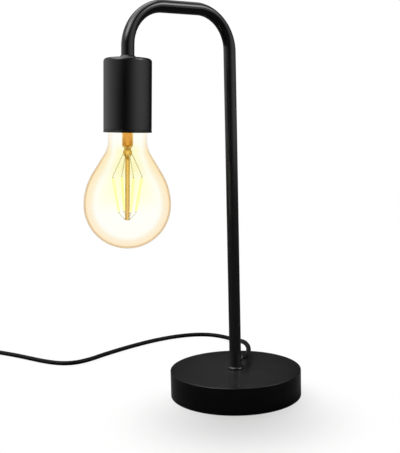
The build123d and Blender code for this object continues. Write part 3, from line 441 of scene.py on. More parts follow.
def tinted_glass(name, rim_stops, height_stops, clear, ior):
    """Tinted glass whose colour follows the angle of view and the height, in (position, colour) stops.

    The height stops run over BULB_FOOT to BULB_HEAD and colour the middle more than the sides; in the bulb they
    paint the filaments' glow into the glass. Towards the top, clear's even colour takes over between its two
    heights.
    """
    material = bpy.data.materials.new(name)
    material.use_nodes = True
    tree = material.node_tree
    shader = tree.nodes["Principled BSDF"]
    facing = tree.nodes.new("ShaderNodeLayerWeight").outputs["Facing"]
    middle = tree.nodes.new("ShaderNodeMapRange")
    middle.inputs["From Max"].default_value = MIDDLE_REACH
    middle.inputs["To Min"].default_value = MIDDLE_HEIGHT_SHARE
    middle.inputs["To Max"].default_value = SIDE_HEIGHT_SHARE
    tree.links.new(facing, middle.inputs["Value"])
    tint_and_height_colour = tree.nodes.new("ShaderNodeMix")
    tint_and_height_colour.data_type = "RGBA"
    tint_and_height_colour.blend_type = "MULTIPLY"
    tree.links.new(middle.outputs["Result"], tint_and_height_colour.inputs["Factor"])
    tree.links.new(colour_ramp(tree, facing, rim_stops), tint_and_height_colour.inputs["A"])
    height = height_share(tree, BULB_FOOT, BULB_HEAD)
    tree.links.new(colour_ramp(tree, height, height_stops), tint_and_height_colour.inputs["B"])
    low, high, even_colour = clear
    fade = tree.nodes.new("ShaderNodeMix")
    fade.data_type = "RGBA"
    fade.inputs["B"].default_value = (*even_colour, 1)
    tree.links.new(height_share(tree, low, high), fade.inputs["Factor"])
    tree.links.new(tint_and_height_colour.outputs["Result"], fade.inputs["A"])
    tree.links.new(fade.outputs["Result"], shader.inputs["Base Color"])
    shader.inputs["Roughness"].default_value = 0.0
    shader.inputs["IOR"].default_value = ior
    shader.inputs["Transmission Weight"].default_value = 1.0
    return material


print("glass coloured by height from", BULB_FOOT, "to", BULB_HEAD)

# %% [markdown]
# The bulb is almost clear, with a yellow glow round the filaments painted into the glass's colour, and an amber
# line at its outline.
# The mount inside is deep amber, darkest at the two waists beside the bead.

# %% Glass and light
FILAMENT_PATCH = 320
FILAMENT_LIGHT = 0.65
FILAMENT_ROUGH = 0.6
BULB_GLASS = tinted_glass(
    "amber_bulb_glass",
    rim_stops=[
        (0.0, (1.0, 1.0, 0.975)),
        (0.30, (1.0, 1.0, 0.965)),
        (0.50, (0.99, 0.93, 0.81)),
        (0.72, (1.0, 0.90, 0.74)),
        (0.79, (0.79, 0.64, 0.45)),
        (0.89, (0.69, 0.53, 0.35)),
        (0.96, (0.95, 0.85, 0.69)),
    ],
    # Painted glow: yellow in the glass round the filaments' height.
    height_stops=[
        (0.32, (1.0, 1.0, 1.0)),
        (0.45, (1.0, 1.0, 0.86)),
        (0.58, (1.0, 1.0, 0.80)),
        (0.69, (0.98, 0.94, 0.55)),
        (0.81, (1.0, 0.97, 0.64)),
        (0.91, (1.0, 1.0, 0.95)),
    ],
    clear=(226, 252, (1.0, 1.0, 0.98)),
    ior=1.01,
)
MOUNT_GLASS = tinted_glass(
    "amber_mount_glass",
    rim_stops=[
        (0.0, (0.90, 0.60, 0.24)),
        (0.05, (0.80, 0.52, 0.19)),
        (0.13, (0.62, 0.40, 0.13)),
        (0.40, (0.54, 0.35, 0.10)),
        (1.0, (0.46, 0.28, 0.06)),
    ],
    height_stops=[
        (0.74, (1.0, 1.0, 1.0)),
        (0.772, (0.40, 0.26, 0.09)),
        (0.80, (1.0, 1.0, 1.0)),
        (0.825, (1.0, 1.0, 1.0)),
        (0.845, (0.40, 0.26, 0.09)),
        (0.87, (1.0, 1.0, 1.0)),
    ],
    clear=(229, 240, (0.86, 0.60, 0.27)),
    ior=1.03,
)


def glowing_coat():
    """The lit yellow coat of the filaments, a little brighter in patches."""
    material = bpy.data.materials.new("filament_coat")
    material.use_nodes = True
    shader = material.node_tree.nodes["Principled BSDF"]
    tone = plug_group(
        material,
        TONE_DRIFT,
        Tone_A=(0.92, 0.76, 0.24, 1),
        Tone_B=(0.95, 0.84, 0.42, 1),
        Scale=FILAMENT_PATCH,
    )
    material.node_tree.links.new(tone.outputs["Color"], shader.inputs["Base Color"])
    material.node_tree.links.new(tone.outputs["Color"], shader.inputs["Emission Color"])
    shader.inputs["Emission Strength"].default_value = FILAMENT_LIGHT
    shader.inputs["Roughness"].default_value = FILAMENT_ROUGH
    return material


FILAMENT_GLOW = glowing_coat()
print("materials", len(bpy.data.materials))

# %% [markdown]
# ## The cord
# The cord leaves the back of the stem just above the base, sweeps over the base's edge, lies on the
# table in a loose curve and runs out of the picture. There it meets the switch, and the rest is put
# away in a tied coil with the plug beside it. The points are the route of the CAD cord. A smooth
# spline with those points as its controls hangs and lies as a flexible lead does.

# %% Cord routes
CORD_D = 4.6
CORD_BEVEL_STEPS = 5
CORD_SPAN_STEPS = 10
LAY = 2.35
LAMP_ROUTE = [
    (1, 0, 32.9),
    (11, 0, 32.9),
    (17.4, 4.3, 32.9),
    (30.5, 18.6, 32.3),
    (41.7, 34.8, 31.2),
    (51.8, 52.6, 28.7),
    (64, 72.8, 23.6),
    (86, 106, 13.4),
    (101, 137, 6.0),
    (109, 162, LAY),
    (103, 182.5, LAY),
    (88.5, 196, LAY),
    (65, 203.5, LAY),
    (35, 204, LAY),
    (1, 198.5, LAY),
    (-34, 189.5, LAY),
    (-58, 181, LAY),
    (-76, 179.5, LAY),
    (-89, 187.5, LAY),
    (-98, 203, LAY),
    (-105, 222, LAY),
    (-113, 246, LAY),
    (-123, 269, LAY),
    (-132, 290, LAY),
    (-144, 304, LAY),
    (-160, 309, LAY),
    (-174, 303, 2.4),
    (-181.5, 289, 4.4),
    (-182, 270.5, 8),
    (-182, 255, 8),
]
SWITCH_ROUTE = [
    (-182, 207, 8),
    (-182, 191.5, 8),
    (-182.8, 174, 4.6),
    (-182, 157.5, 3.1),
    (-182, 146.6, 3.1),
]
PLUG_ROUTE = [
    (-244, 146.6, 8.3),
    (-244, 155, 8.3),
    (-243.2, 165, 5.6),
    (-244, 175, 6.85),
    (-244, 184, 6.85),
]
COIL_MIDDLE = (-213, 142)
COIL_R = 31.0
TURN_PITCH = 5.2
TURNS_IN = 3
COIL_LOW, COIL_HIGH = 3.1, 8.3
STEPS_PER_HALF = 8


def coil_route():
    """Half turns that spiral in on the lower layer, climb, and spiral out on the upper one."""
    inner = COIL_R - TURNS_IN * TURN_PITCH
    halves = range(2 * TURNS_IN + 1)
    stops = [(COIL_R - i * TURN_PITCH / 2, COIL_LOW) for i in halves]
    stops.append((inner - TURN_PITCH / 2, COIL_HIGH))
    stops += [(inner + i * TURN_PITCH / 2, COIL_HIGH) for i in halves[1:]]
    step = math.pi / STEPS_PER_HALF
    # The spline passes each control at 3/4 of its place plus 1/8 of both neighbours' places.
    swell = 1 / (0.75 + 0.25 * math.cos(step))
    points = []
    for i, ((start_r, start_z), (end_r, end_z)) in enumerate(zip(stops, stops[1:])):
        side = (-1) ** i
        centre = side * (start_r - end_r) / 2
        radius = (start_r + end_r) / 2 * swell
        for j in range(STEPS_PER_HALF):
            turn = j * step
            rise = (1 - math.cos(turn)) / 2
            points.append(
                (
                    COIL_MIDDLE[0] + centre + side * radius * math.cos(turn),
                    COIL_MIDDLE[1] - side * radius * math.sin(turn),
                    start_z + (end_z - start_z) * rise,
                )
            )
    return points


def smooth_cord(name, route):
    """A round cord on one smooth spline whose controls are the route's points."""
    curve = bpy.data.curves.new(name, "CURVE")
    curve.dimensions = "3D"
    curve.bevel_depth = CORD_D / 2 * MM
    curve.bevel_resolution = CORD_BEVEL_STEPS
    curve.resolution_u = CORD_SPAN_STEPS
    curve.use_fill_caps = True
    spline = curve.splines.new("NURBS")
    spline.points.add(len(route) - 1)
    for point, place in zip(spline.points, route):
        point.co = (*(Vector(place) * MM), 1)
    spline.use_endpoint_u = True
    spline.order_u = 3
    curve.materials.append(CORD_BLACK)
    cord = bpy.data.objects.new(name, curve)
    bpy.context.scene.collection.objects.link(cord)
    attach(cord, "lamp")
    print(name, "length", round(spline.calc_length(), 4), "points", len(route))
    return cord


lamp_cord = smooth_cord("lamp_cord_line", LAMP_ROUTE)
plug_cord = smooth_cord("plug_cord_line", SWITCH_ROUTE + coil_route() + PLUG_ROUTE)
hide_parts("lamp_cord")
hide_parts("switch_lead", "cord_coil", "plug_lead")

# %% [markdown]
# ## Turned pieces
# Base, cup, collars and bulb were all made on a spinning machine: turned, spun or blown. So each is
# drawn as half of its outline, its corners are rounded with a vertex bevel, and the outline is
# spun once round its axis. The cup hangs a little out of upright, so its pieces are spun upright
# and then set in the cup's own frame, which the bulb's joint gives.

# %% Shop tools
TURN_STEPS = 128
ROUND_STEPS = 6
SMOOTH_ANGLE = math.radians(35)
WELD = 1e-6
UPRIGHT = Matrix.Identity(4)

cup_top = Vector(joints["bulb_turn"]["pos_m"])
cup_down = Vector(joints["bulb_turn"]["axis"]).normalized()
cup_side = Vector((0, 1, 0)).cross(-cup_down)
cup_axes = Matrix((cup_side, Vector((0, 1, 0)), -cup_down)).transposed().to_4x4()
CUP = Matrix.Translation(cup_top) @ cup_axes


def finished(name, shape, material, body):
    """Turn a bmesh into a smooth piece that rides on a body."""
    mesh = bpy.data.meshes.new(name)
    shape.to_mesh(mesh)
    shape.free()
    mesh.shade_smooth()
    mesh.set_sharp_from_angle(angle=SMOOTH_ANGLE)
    mesh.materials.append(material)
    piece = bpy.data.objects.new(name, mesh)
    bpy.context.scene.collection.objects.link(piece)
    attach(piece, body)
    print(name, "faces", len(mesh.polygons))
    return piece


def draw_outline(outline, closed):
    """A bmesh with a chain of (radius, height) points in millimetres."""
    shape = bmesh.new()
    points = [shape.verts.new((radius * MM, 0, height * MM)) for radius, height in outline]
    ends = points[1:] + points[:1] if closed else points[1:]
    for start, end in zip(points, ends):
        shape.edges.new((start, end))
    return shape, points


def round_corner(shape, corner, radius):
    """Round one point of an outline."""
    bmesh.ops.bevel(
        shape,
        geom=[corner],
        offset=radius * MM,
        offset_type="OFFSET",
        segments=ROUND_STEPS,
        profile=0.5,
        affect="VERTICES",
        material=-1,
    )


def spin_round(shape, place):
    """Spin an outline once round its axis, close it and set it in place."""
    bmesh.ops.spin(
        shape,
        geom=shape.verts[:] + shape.edges[:],
        cent=(0, 0, 0),
        axis=(0, 0, 1),
        dvec=(0, 0, 0),
        angle=math.tau,
        steps=TURN_STEPS,
        use_merge=True,
        use_duplicate=False,
    )
    bmesh.ops.remove_doubles(shape, verts=shape.verts, dist=WELD)
    bmesh.ops.recalc_face_normals(shape, faces=shape.faces)
    bmesh.ops.transform(shape, matrix=place, verts=shape.verts)


def turned(outline, rounds, place=UPRIGHT):
    """A turned solid from a half outline, with a radius for the corners that are rounded."""
    on_axis = outline[0][0] == 0 and outline[-1][0] == 0
    shape, points = draw_outline(outline, not on_axis)
    for index, radius in rounds.items():
        round_corner(shape, points[index], radius)
    spin_round(shape, place)
    return shape


def size_mm(node):
    """A node's lowest and highest corners in millimetres."""
    low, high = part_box(node)
    return Vector(low) / MM, Vector(high) / MM


print("cup leans by", round(math.degrees(math.acos(-cup_down.z)), 2), "degrees")

# %% [markdown]
# The base is a spun steel dish over an iron weight. Its top edge is what catches the light as a thin
# bright line, so the bevel there is small and has enough segments to stay smooth.

# %% Base
base_low, base_high = size_mm("base_shell")
BASE_R = base_high.x
BASE_TOP = base_high.z
BASE_WALL = 1.5
BASE_EDGE_R = 0.6
BASE_RIM_R = 0.4
STEM_R = 5.4
base = turned(
    [
        (STEM_R, BASE_TOP),
        (BASE_R, BASE_TOP),
        (BASE_R, base_low.z),
        (BASE_R - BASE_WALL, base_low.z),
        (BASE_R - BASE_WALL, BASE_TOP - BASE_WALL),
        (STEM_R, BASE_TOP - BASE_WALL),
    ],
    {1: BASE_EDGE_R, 2: BASE_RIM_R, 3: BASE_RIM_R},
)
base_dish = finished("base_dish", base, BASE_PAINT, "lamp")
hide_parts("base_shell")

COLLAR_DROP = 1.0
COLLAR_BEVEL = 1.3
COLLAR_ROUNDS = {1: 0.3, 2: 0.6, 3: 0.5}
collar_low, collar_high = size_mm("stem_collar")
collar = turned(
    [
        (STEM_R, collar_low.z),
        (collar_high.x, collar_low.z),
        (collar_high.x, collar_high.z - COLLAR_DROP),
        (collar_high.x - COLLAR_BEVEL, collar_high.z),
        (STEM_R, collar_high.z),
    ],
    COLLAR_ROUNDS,
)
foot_collar = finished("foot_collar", collar, BLACK_PAINT, "lamp")
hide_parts("stem_collar")

# %% [markdown]
# ## The bent tube
# A tube bender makes the stem from one straight tube: run, bend, run, bend, run. The same moves
# work here. A circle of edges is extruded along the straight runs and spun about each bend's centre.

# %% Stem
BEND_R = 33.5
ARM_Z = 345.9
ARM_REACH = 101.4
LEG_SPLAY = math.acos(-cup_down.z)
TUBE_SIDES = 48
BEND_STEPS = 28
TUBE_WALL = 1.0
LEG_TAIL = 10.0
BEND_FLATTEN = 0.20


def run_on(shape, ring, move):
    """Extrude the last ring of a tube by a straight move."""
    made = bmesh.ops.extrude_edge_only(shape, edges=ring)["geom"]
    moved = [part for part in made if isinstance(part, bmesh.types.BMVert)]
    bmesh.ops.translate(shape, vec=move, verts=moved)
    edges = [part for part in made if isinstance(part, bmesh.types.BMEdge)]
    return [edge for edge in edges if set(edge.verts) <= set(moved)]


def bend_on(shape, ring, centre, angle):
    """Spin the last ring of a tube about a bend's centre, towards -X."""
    made = bmesh.ops.spin(
        shape,
        geom=ring,
        cent=centre,
        axis=(0, -1, 0),
        dvec=(0, 0, 0),
        angle=angle,
        steps=BEND_STEPS,
        use_merge=False,
        use_duplicate=False,
    )["geom_last"]
    return [part for part in made if isinstance(part, bmesh.types.BMEdge)]


def flatten_bend(shape, centre, start, angle):
    """Draw the outer wall of a bend in a little, most at its middle, as a tube bender does."""
    for vert in shape.verts:
        arm = Vector((vert.co.x - centre.x, 0, vert.co.z - centre.z))
        share = (math.atan2(arm.z, arm.x) - start) / angle
        proud = arm.length - BEND_R * MM
        if 0 < share < 1 and proud > 0:
            vert.co -= arm.normalized() * proud * BEND_FLATTEN * math.sin(math.pi * share)


tube_foot = size_mm("stem_tube")[0].z
leg_turn = math.pi / 2 - LEG_SPLAY
leg_setback = BEND_R * math.tan(leg_turn / 2)
stem_bend = Vector((-BEND_R, 0, ARM_Z - BEND_R)) * MM
leg_bend = Vector((leg_setback - ARM_REACH, 0, ARM_Z - BEND_R)) * MM
tube = bmesh.new()
bmesh.ops.create_circle(tube, segments=TUBE_SIDES, radius=STEM_R * MM)
bmesh.ops.translate(tube, vec=(0, 0, tube_foot * MM), verts=tube.verts)
ring = run_on(tube, tube.edges[:], Vector((0, 0, ARM_Z - BEND_R - tube_foot)) * MM)
ring = bend_on(tube, ring, stem_bend, math.pi / 2)
ring = run_on(tube, ring, Vector((BEND_R + leg_setback - ARM_REACH, 0, 0)) * MM)
ring = bend_on(tube, ring, leg_bend, leg_turn)
leg_start = sum((edge.verts[0].co for edge in ring), Vector()) / len(ring)
leg_length = (cup_top + cup_down * LEG_TAIL * MM - leg_start).length
run_on(tube, ring, cup_down * leg_length)
flatten_bend(tube, stem_bend, 0, math.pi / 2)
flatten_bend(tube, leg_bend, math.pi / 2, leg_turn)
bmesh.ops.recalc_face_normals(tube, faces=tube.faces)
bmesh.ops.solidify(tube, geom=tube.faces[:], thickness=TUBE_WALL * MM)
bent_stem = finished("bent_stem", tube, BLACK_PAINT, "lamp")
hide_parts("stem_tube")

# %% [markdown]
# ## The cup
# A plain cup of spun steel covers the lampholder. Its shoulder is rounded, and a shallow groove
# runs round it just above the rim, where the steel is rolled in. A small collar closes the hole
# where the tube enters.

# %% Cup
CUP_R = 19.7
CUP_H = 59.5
CUP_WALL = 1.2
CUP_SHOULDER = 2.6
LIP_H = 1.4
LIP_PROUD = 0.15
LIP_R = 0.35
LIP_CREASE_R = 0.12
GROOVE = 0.25
cup = turned(
    [
        (STEM_R, 0),
        (CUP_R, 0),
        (CUP_R, LIP_H + 2 * GROOVE - CUP_H),
        (CUP_R - GROOVE, LIP_H + GROOVE - CUP_H),
        (CUP_R - GROOVE, LIP_H - CUP_H),
        (CUP_R + LIP_PROUD, LIP_H - CUP_H),
        (CUP_R + LIP_PROUD, -CUP_H),
        (CUP_R - CUP_WALL, -CUP_H),
        (CUP_R - CUP_WALL, -CUP_WALL),
        (STEM_R, -CUP_WALL),
    ],
    {1: CUP_SHOULDER, 5: LIP_CREASE_R, 6: LIP_R, 7: LIP_R, 8: CUP_SHOULDER - CUP_WALL},
    CUP,
)
spun_cup = finished("spun_cup", cup, BLACK_PAINT, "lamp")
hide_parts("socket_cup")

RING_R, RING_STEP = 7.0, 0.8
RING_TOP_R, RING_H = 5.9, 2.4
RING_ROUNDS = {1: 0.2, 2: 0.5, 3: 0.4}
cup_ring = turned(
    [(STEM_R, 0), (RING_R, 0), (RING_R, RING_STEP), (RING_TOP_R, RING_H), (STEM_R, RING_H)],
    RING_ROUNDS,
    CUP,
)
neck_collar = finished("neck_collar", cup_ring, BLACK_PAINT, "lamp")
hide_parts("cup_collar")

# %% [markdown]
# ## The bulb
# The bulb's outline is a ball, a large arc that is tangent to it, a straight cone and a short neck.
# Arcs are made by spinning one point about the arc's centre, so the outline needs no lists of
# sampled points. The glass is one skin, given its thickness at the end.

# %% Bulb glass
GLASS_R = 35.9
GLASS_MID = -CUP_H - 59.4
SHOULDER_R = 50.0
CONE_ANGLE = math.radians(31.5)
NECK_R = 16.0
NECK_FILLET = 18.0
SEAL_R = 11.5
GLASS_TOP = -43.1
SEAL_H = 4.0
NECK_FLARE = 8.0
FLARE_ROUND = 2.2
SEAL_ROUND = 1.2
GLASS_WALL = 0.8
ARC_STEPS = 36


def swing(shape, tip, centre, angle, steps):
    """Continue an outline from its last point by an arc about a centre."""
    made = bmesh.ops.spin(
        shape,
        geom=[tip],
        cent=(centre[0] * MM, 0, centre[1] * MM),
        axis=(0, -1, 0),
        dvec=(0, 0, 0),
        angle=angle,
        steps=steps,
        use_merge=False,
        use_duplicate=False,
    )["geom_last"]
    return next(part for part in made if isinstance(part, bmesh.types.BMVert))


def draw_to(shape, tip, place):
    """Continue an outline from its last point by a straight line."""
    corner = shape.verts.new((place[0] * MM, 0, place[1] * MM))
    shape.edges.new((tip, corner))
    return corner


shoulder_x = GLASS_R - SHOULDER_R
cone_x = shoulder_x + SHOULDER_R * math.cos(CONE_ANGLE)
cone_z = GLASS_MID + SHOULDER_R * math.sin(CONE_ANGLE)
neck_z = cone_z + (cone_x - NECK_R) / math.tan(CONE_ANGLE)
glass = bmesh.new()
tip = glass.verts.new((0, 0, (GLASS_MID - GLASS_R) * MM))
tip = swing(glass, tip, (0, GLASS_MID), math.pi / 2, ARC_STEPS)
tip = swing(glass, tip, (shoulder_x, GLASS_MID), CONE_ANGLE, ARC_STEPS // 2)
neck = draw_to(glass, tip, (NECK_R, neck_z))
flare = draw_to(glass, neck, (NECK_R, GLASS_TOP - SEAL_H - NECK_FLARE))
seal = draw_to(glass, flare, (SEAL_R, GLASS_TOP - SEAL_H))
draw_to(glass, seal, (SEAL_R, GLASS_TOP))
round_corner(glass, neck, NECK_FILLET * math.tan(CONE_ANGLE / 2))
round_corner(glass, flare, FLARE_ROUND)
round_corner(glass, seal, SEAL_ROUND)
spin_round(glass, CUP)
bmesh.ops.solidify(glass, geom=glass.faces[:], thickness=GLASS_WALL * MM)
blown_bulb = finished("blown_bulb", glass, BULB_GLASS, "bulb")
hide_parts("bulb_glass")

# %% [markdown]
# Inside stands the glass mount: a hollow flare, a tube that is pinched shut round the wires, a
# bead, and a thin rod that holds the filaments' feet. It is tinted more deeply than the bulb.

# %% Mount
FLARE_IN_R, FLARE_OUT_R = 9.6, 10.6
FLARE_GAP = 0.9
FLARE_END = -54.0
MOUNT_R = 4.6
MOUNT_WALL = 0.9
PINCH = -CUP_H - 13.0
PINCH_RISE = 1.8
WAIST_R = 2.3
BEAD_R = 3.7
BEAD_FROM, BEAD_TO = 2.3, 4.8
ROD_R = 1.85
ROD_FROM = 7.3
ROD_END = -CUP_H - 71.0
FOOT_R = 2.4
FOOT_H = 0.8
FOOT_TAPER = 1.2
CORE_R = 0.02
MOUNT_ROUNDS = {2: 3.0, 3: 1.2, 4: 1.0, 5: 1.1, 6: 1.1, 7: 1.2, 9: 0.4, 10: 0.3, 14: 3.0}
mount = turned(
    [
        (FLARE_IN_R, GLASS_TOP - FLARE_GAP),
        (FLARE_OUT_R, GLASS_TOP - FLARE_GAP),
        (MOUNT_R, FLARE_END),
        (MOUNT_R, PINCH + PINCH_RISE),
        (WAIST_R, PINCH),
        (BEAD_R, PINCH - BEAD_FROM),
        (BEAD_R, PINCH - BEAD_TO),
        (ROD_R, PINCH - ROD_FROM),
        (ROD_R, ROD_END + FOOT_TAPER),
        (FOOT_R, ROD_END),
        (FOOT_R, ROD_END - FOOT_H),
        (CORE_R, ROD_END - FOOT_TAPER),
        (CORE_R, PINCH + MOUNT_WALL),
        (MOUNT_R - MOUNT_WALL, PINCH + PINCH_RISE + MOUNT_WALL),
        (MOUNT_R - MOUNT_WALL, FLARE_END),
    ],
    MOUNT_ROUNDS,
    CUP,
)
glass_mount = finished("glass_mount", mount, MOUNT_GLASS, "bulb")
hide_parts("bulb_mount")

# %% [markdown]
# Four filament rods lean in towards the mount's foot. Each is a coated rod with a bare metal tab at
# both ends, held by a thin wire from the bead above and by a hook from the rod below.

# %% Filaments
FILAMENT_R = 1.1
FILAMENT_SIDES = 24
FILAMENT_SOFT = 0.35
SOFT_STEPS = 3
FILAMENT_TURN = math.radians(-8)
FILAMENT_COUNT = 4
FILAMENT_TOP = (13.0, -CUP_H - 35.8)
FILAMENT_FOOT = (7.3, -CUP_H - 66.3)
TAB = 1.6
TAB_R = 0.55
TAB_SIDES = 12


def rod_between(shape, start, end, radius, sides, soft=0.0):
    """A round rod from one point to another, with its end edges softened."""
    span = end - start
    made = bmesh.ops.create_cone(
        shape, cap_ends=True, segments=sides, radius1=radius, radius2=radius, depth=span.length
    )["verts"]
    if soft:
        rims = {edge for vert in made for edge in vert.link_edges if len(edge.link_faces) == 2}
        rims = [edge for edge in rims if any(len(face.verts) > 4 for face in edge.link_faces)]
        made_by = bmesh.ops.bevel(
            shape,
            geom=rims,
            offset=soft,
            offset_type="OFFSET",
            segments=SOFT_STEPS,
            profile=0.5,
            affect="EDGES",
            material=-1,
        )
        made = list({vert for vert in made if vert.is_valid} | set(made_by["verts"]))
    aim = span.to_track_quat("Z", "Y").to_matrix().to_4x4()
    bmesh.ops.transform(shape, matrix=Matrix.Translation((start + end) / 2) @ aim, verts=made)


def ring_points(radius, height):
    """The filaments' points round the bulb's axis, in the lamp's frame."""
    for i in range(FILAMENT_COUNT):
        angle = FILAMENT_TURN + math.tau * i / FILAMENT_COUNT
        yield CUP @ (Vector((radius * math.cos(angle), radius * math.sin(angle), height)) * MM)


tops = list(ring_points(*FILAMENT_TOP))
feet = list(ring_points(*FILAMENT_FOOT))
coats = bmesh.new()
tabs = bmesh.new()
for top, foot in zip(tops, feet):
    along = (foot - top).normalized() * TAB * MM
    rod_between(
        coats, top + along, foot - along, FILAMENT_R * MM, FILAMENT_SIDES, FILAMENT_SOFT * MM
    )
    rod_between(tabs, top, top + along, TAB_R * MM, TAB_SIDES)
    rod_between(tabs, foot - along, foot, TAB_R * MM, TAB_SIDES)
bmesh.ops.recalc_face_normals(coats, faces=coats.faces)
bmesh.ops.recalc_face_normals(tabs, faces=tabs.faces)
glowing_rods = finished("glowing_rods", coats, FILAMENT_GLOW, "bulb")
finished("rod_tabs", tabs, LEAD_METAL, "bulb")
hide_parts("filaments")

# %% [markdown]
# ## Finishes of the CAD nodes
# The nodes that have no piece of their own yet keep their CAD shape. The larger ones that show are
# copied, welded and shaded smooth, because a CAD mesh arrives as loose flat triangles.

# %% CAD nodes
FINISH_OF_SLOT = {
    "black_metal": BLACK_PAINT,
    "weight_iron": CAST_IRON,
    "zinc_steel": ZINC_STEEL,
    "pad_foam": PAD_FOAM,
    "holder_plastic": HOLDER_BLACK,
    "holder_ceramic": CERAMIC,
    "switch_plastic": SWITCH_BLACK,
    "cord_sheath": CORD_BLACK,
    "brown_wire": BROWN_WIRE,
    "blue_wire": BLUE_WIRE,
    "contact_brass": CONTACT_BRASS,
    "plated_pin": PLATED_PIN,
    "cap_metal": CAP_METAL,
    "cap_insulator": BLACK_GLASS,
    "amber_glass": BULB_GLASS,
    "filament_coat": FILAMENT_GLOW,
    "board": BOARD_GREEN,
}
slot_of_node = {part["node"]: part["material_slot"] for part in frame["record"]["subparts"]}
body_of_node = {
    node: body for body, members in frame["record"]["behaviour"]["bodies"].items() for node in members
}
for name, node in nodes.items():
    node.data.materials.clear()
    node.data.materials.append(FINISH_OF_SLOT[slot_of_node[name]])
for name in ("lead_wires", "filament_hooks"):
    nodes[name].data.materials[0] = LEAD_METAL


def smooth_copy(node):
    """A welded, smooth-shaded copy of a CAD node that stands for it."""
    shape = bmesh.new()
    shape.from_mesh(nodes[node].data)
    bmesh.ops.remove_doubles(shape, verts=shape.verts, dist=WELD)
    slot = slot_of_node[node]
    piece = finished(node + "_smooth", shape, FINISH_OF_SLOT[slot], body_of_node[node])
    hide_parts(node)
    return piece


SMOOTHED = [
    "switch_base",
    "switch_cover",
    "rocker",
    "plug_body",
    "plug_pins",
    "pin_sleeves",
    "coil_tie",
    "cord_bushing",
    "foot_pad",
    "bulb_cap",
    "screw_shell",
    "holder_skirt",
]
smoothed = {node: smooth_copy(node) for node in SMOOTHED}

# %% [markdown]
# The switch's pieces, its smoothed shell and rocker and the small CAD nodes, are gathered in one list.

SWITCH_SMALL = [
    "rocker_pin",
    "rocker_plunger",
    "plunger_spring",
    "seesaw_contact",
    "fixed_contacts",
    "switch_terminal_screws",
    "switch_wires",
    "cord_clamps",
    "clamp_screws",
    "case_screws",
]
switch_pieces = [smoothed["switch_base"], smoothed["switch_cover"], smoothed["rocker"]]
switch_pieces += [nodes[name] for name in SWITCH_SMALL]

# %% [markdown]
# ## The studio
# The photograph is a packshot: a white table and background and a soft shadow in front. The floor and the world
# are white to the camera and through glass, and the floor is greyer close in front of the lamp, a painted shadow.
# One broad light and a dim room light the lamp, and what its gloss mirrors is set apart from both.

# %% Floor
FLOOR_SIZE = 8.0
TABLE_GREY = 0.18
TABLE_ROUGH = 0.9
# The floor's brightness drops towards SHADE_MIDDLE, in front of the base: a painted shadow.
SHADE_MIDDLE = (0, -62, 0)
SHADE_NEAR, SHADE_FAR = 4, 118
LIFT_NEAR, LIFT_FAR = 0.54, 0.86
floor_shape = bmesh.new()
bmesh.ops.create_grid(floor_shape, x_segments=1, y_segments=1, size=FLOOR_SIZE / 2)
floor_mesh = bpy.data.meshes.new("table_top")
floor_shape.to_mesh(floor_mesh)
floor_shape.free()
floor = bpy.data.objects.new("table_top", floor_mesh)
bpy.context.scene.collection.objects.link(floor)


def seen_directly(tree, kinds):
    """A 0 or 1 value for rays of the named kinds."""
    path = tree.nodes.new("ShaderNodeLightPath")
    value = path.outputs[kinds[0]]
    for kind in kinds[1:]:
        either = tree.nodes.new("ShaderNodeMath")
        either.operation = "MAXIMUM"
        tree.links.new(value, either.inputs[0])
        tree.links.new(path.outputs[kind], either.inputs[1])
        value = either.outputs[0]
    return value


def white_table():
    """A pale table, white to the camera away from the lamp and greyer close in front of it, a painted shadow."""
    material = bpy.data.materials.new("white_table")
    material.use_nodes = True
    tree = material.node_tree
    shader = tree.nodes["Principled BSDF"]
    shader.inputs["Base Color"].default_value = (TABLE_GREY, TABLE_GREY, TABLE_GREY, 1)
    shader.inputs["Roughness"].default_value = TABLE_ROUGH
    shader.inputs["Specular IOR Level"].default_value = 0.0
    shader.inputs["Emission Color"].default_value = (1, 1, 1, 1)
    place = tree.nodes.new("ShaderNodeTexCoord")
    reach = tree.nodes.new("ShaderNodeVectorMath")
    reach.operation = "DISTANCE"
    reach.inputs[1].default_value = photo_to_lamp @ (Vector(SHADE_MIDDLE) * MM)
    fade = tree.nodes.new("ShaderNodeMapRange")
    fade.interpolation_type = "SMOOTHSTEP"
    fade.inputs["From Min"].default_value = SHADE_NEAR * MM
    fade.inputs["From Max"].default_value = SHADE_FAR * MM
    fade.inputs["To Min"].default_value = LIFT_NEAR
    fade.inputs["To Max"].default_value = LIFT_FAR
    lift = tree.nodes.new("ShaderNodeMath")
    lift.operation = "MULTIPLY"
    seen = seen_directly(tree, ["Is Camera Ray", "Is Transmission Ray"])
    tree.links.new(place.outputs["Object"], reach.inputs[0])
    tree.links.new(reach.outputs["Value"], fade.inputs["Value"])
    tree.links.new(fade.outputs["Result"], lift.inputs[0])
    tree.links.new(seen, lift.inputs[1])
    tree.links.new(lift.outputs[0], shader.inputs["Emission Strength"])
    return material


floor_mesh.materials.append(white_table())
print("floor", FLOOR_SIZE, "m wide")

# %% [markdown]
# Glossy surfaces mirror a dark room with panels in it: broad ones at both sides, which draw the pale
# bands down the cup, a faint one behind, two hung higher for the lights on the bends, and a pale
# ceiling. Only glossy rays see them. The side panels are brighter than white, and the two high ones
# are many times as bright.

# %% World
world = bpy.data.worlds.new("studio")
bpy.context.scene.world = world
world.use_nodes = True
world_tree = world.node_tree
backdrop = world_tree.nodes["Background"]
backdrop.inputs["Color"].default_value = (1, 1, 1, 1)
ROOM_LIGHT = 0.06
ROOM_DARK = 0.02
CEILING_WAY = (0, 0.5, 0.866)
CEILING_FROM, CEILING_FULL, CEILING_GLOW = 0.80, 0.93, 1.0
SIDE_PANELS = [
    ((-1.0, 0.0, 0.0), 2.4, 1.5),
    ((0.914, -0.407, 0.0), 3.0, 1.7),
    ((0.0, 1.0, 0.0), 1.0, 0.02),
]
HIGH_PANELS = [
    ((-0.53, -0.53, 0.66), 15.0, 13.0),
    ((0.86, -0.29, 0.42), 20.0, 16.0),
]
HIGH_FROM, HIGH_FULL = 0.28, 0.56
way = world_tree.nodes.new("ShaderNodeTexCoord").outputs["Generated"]


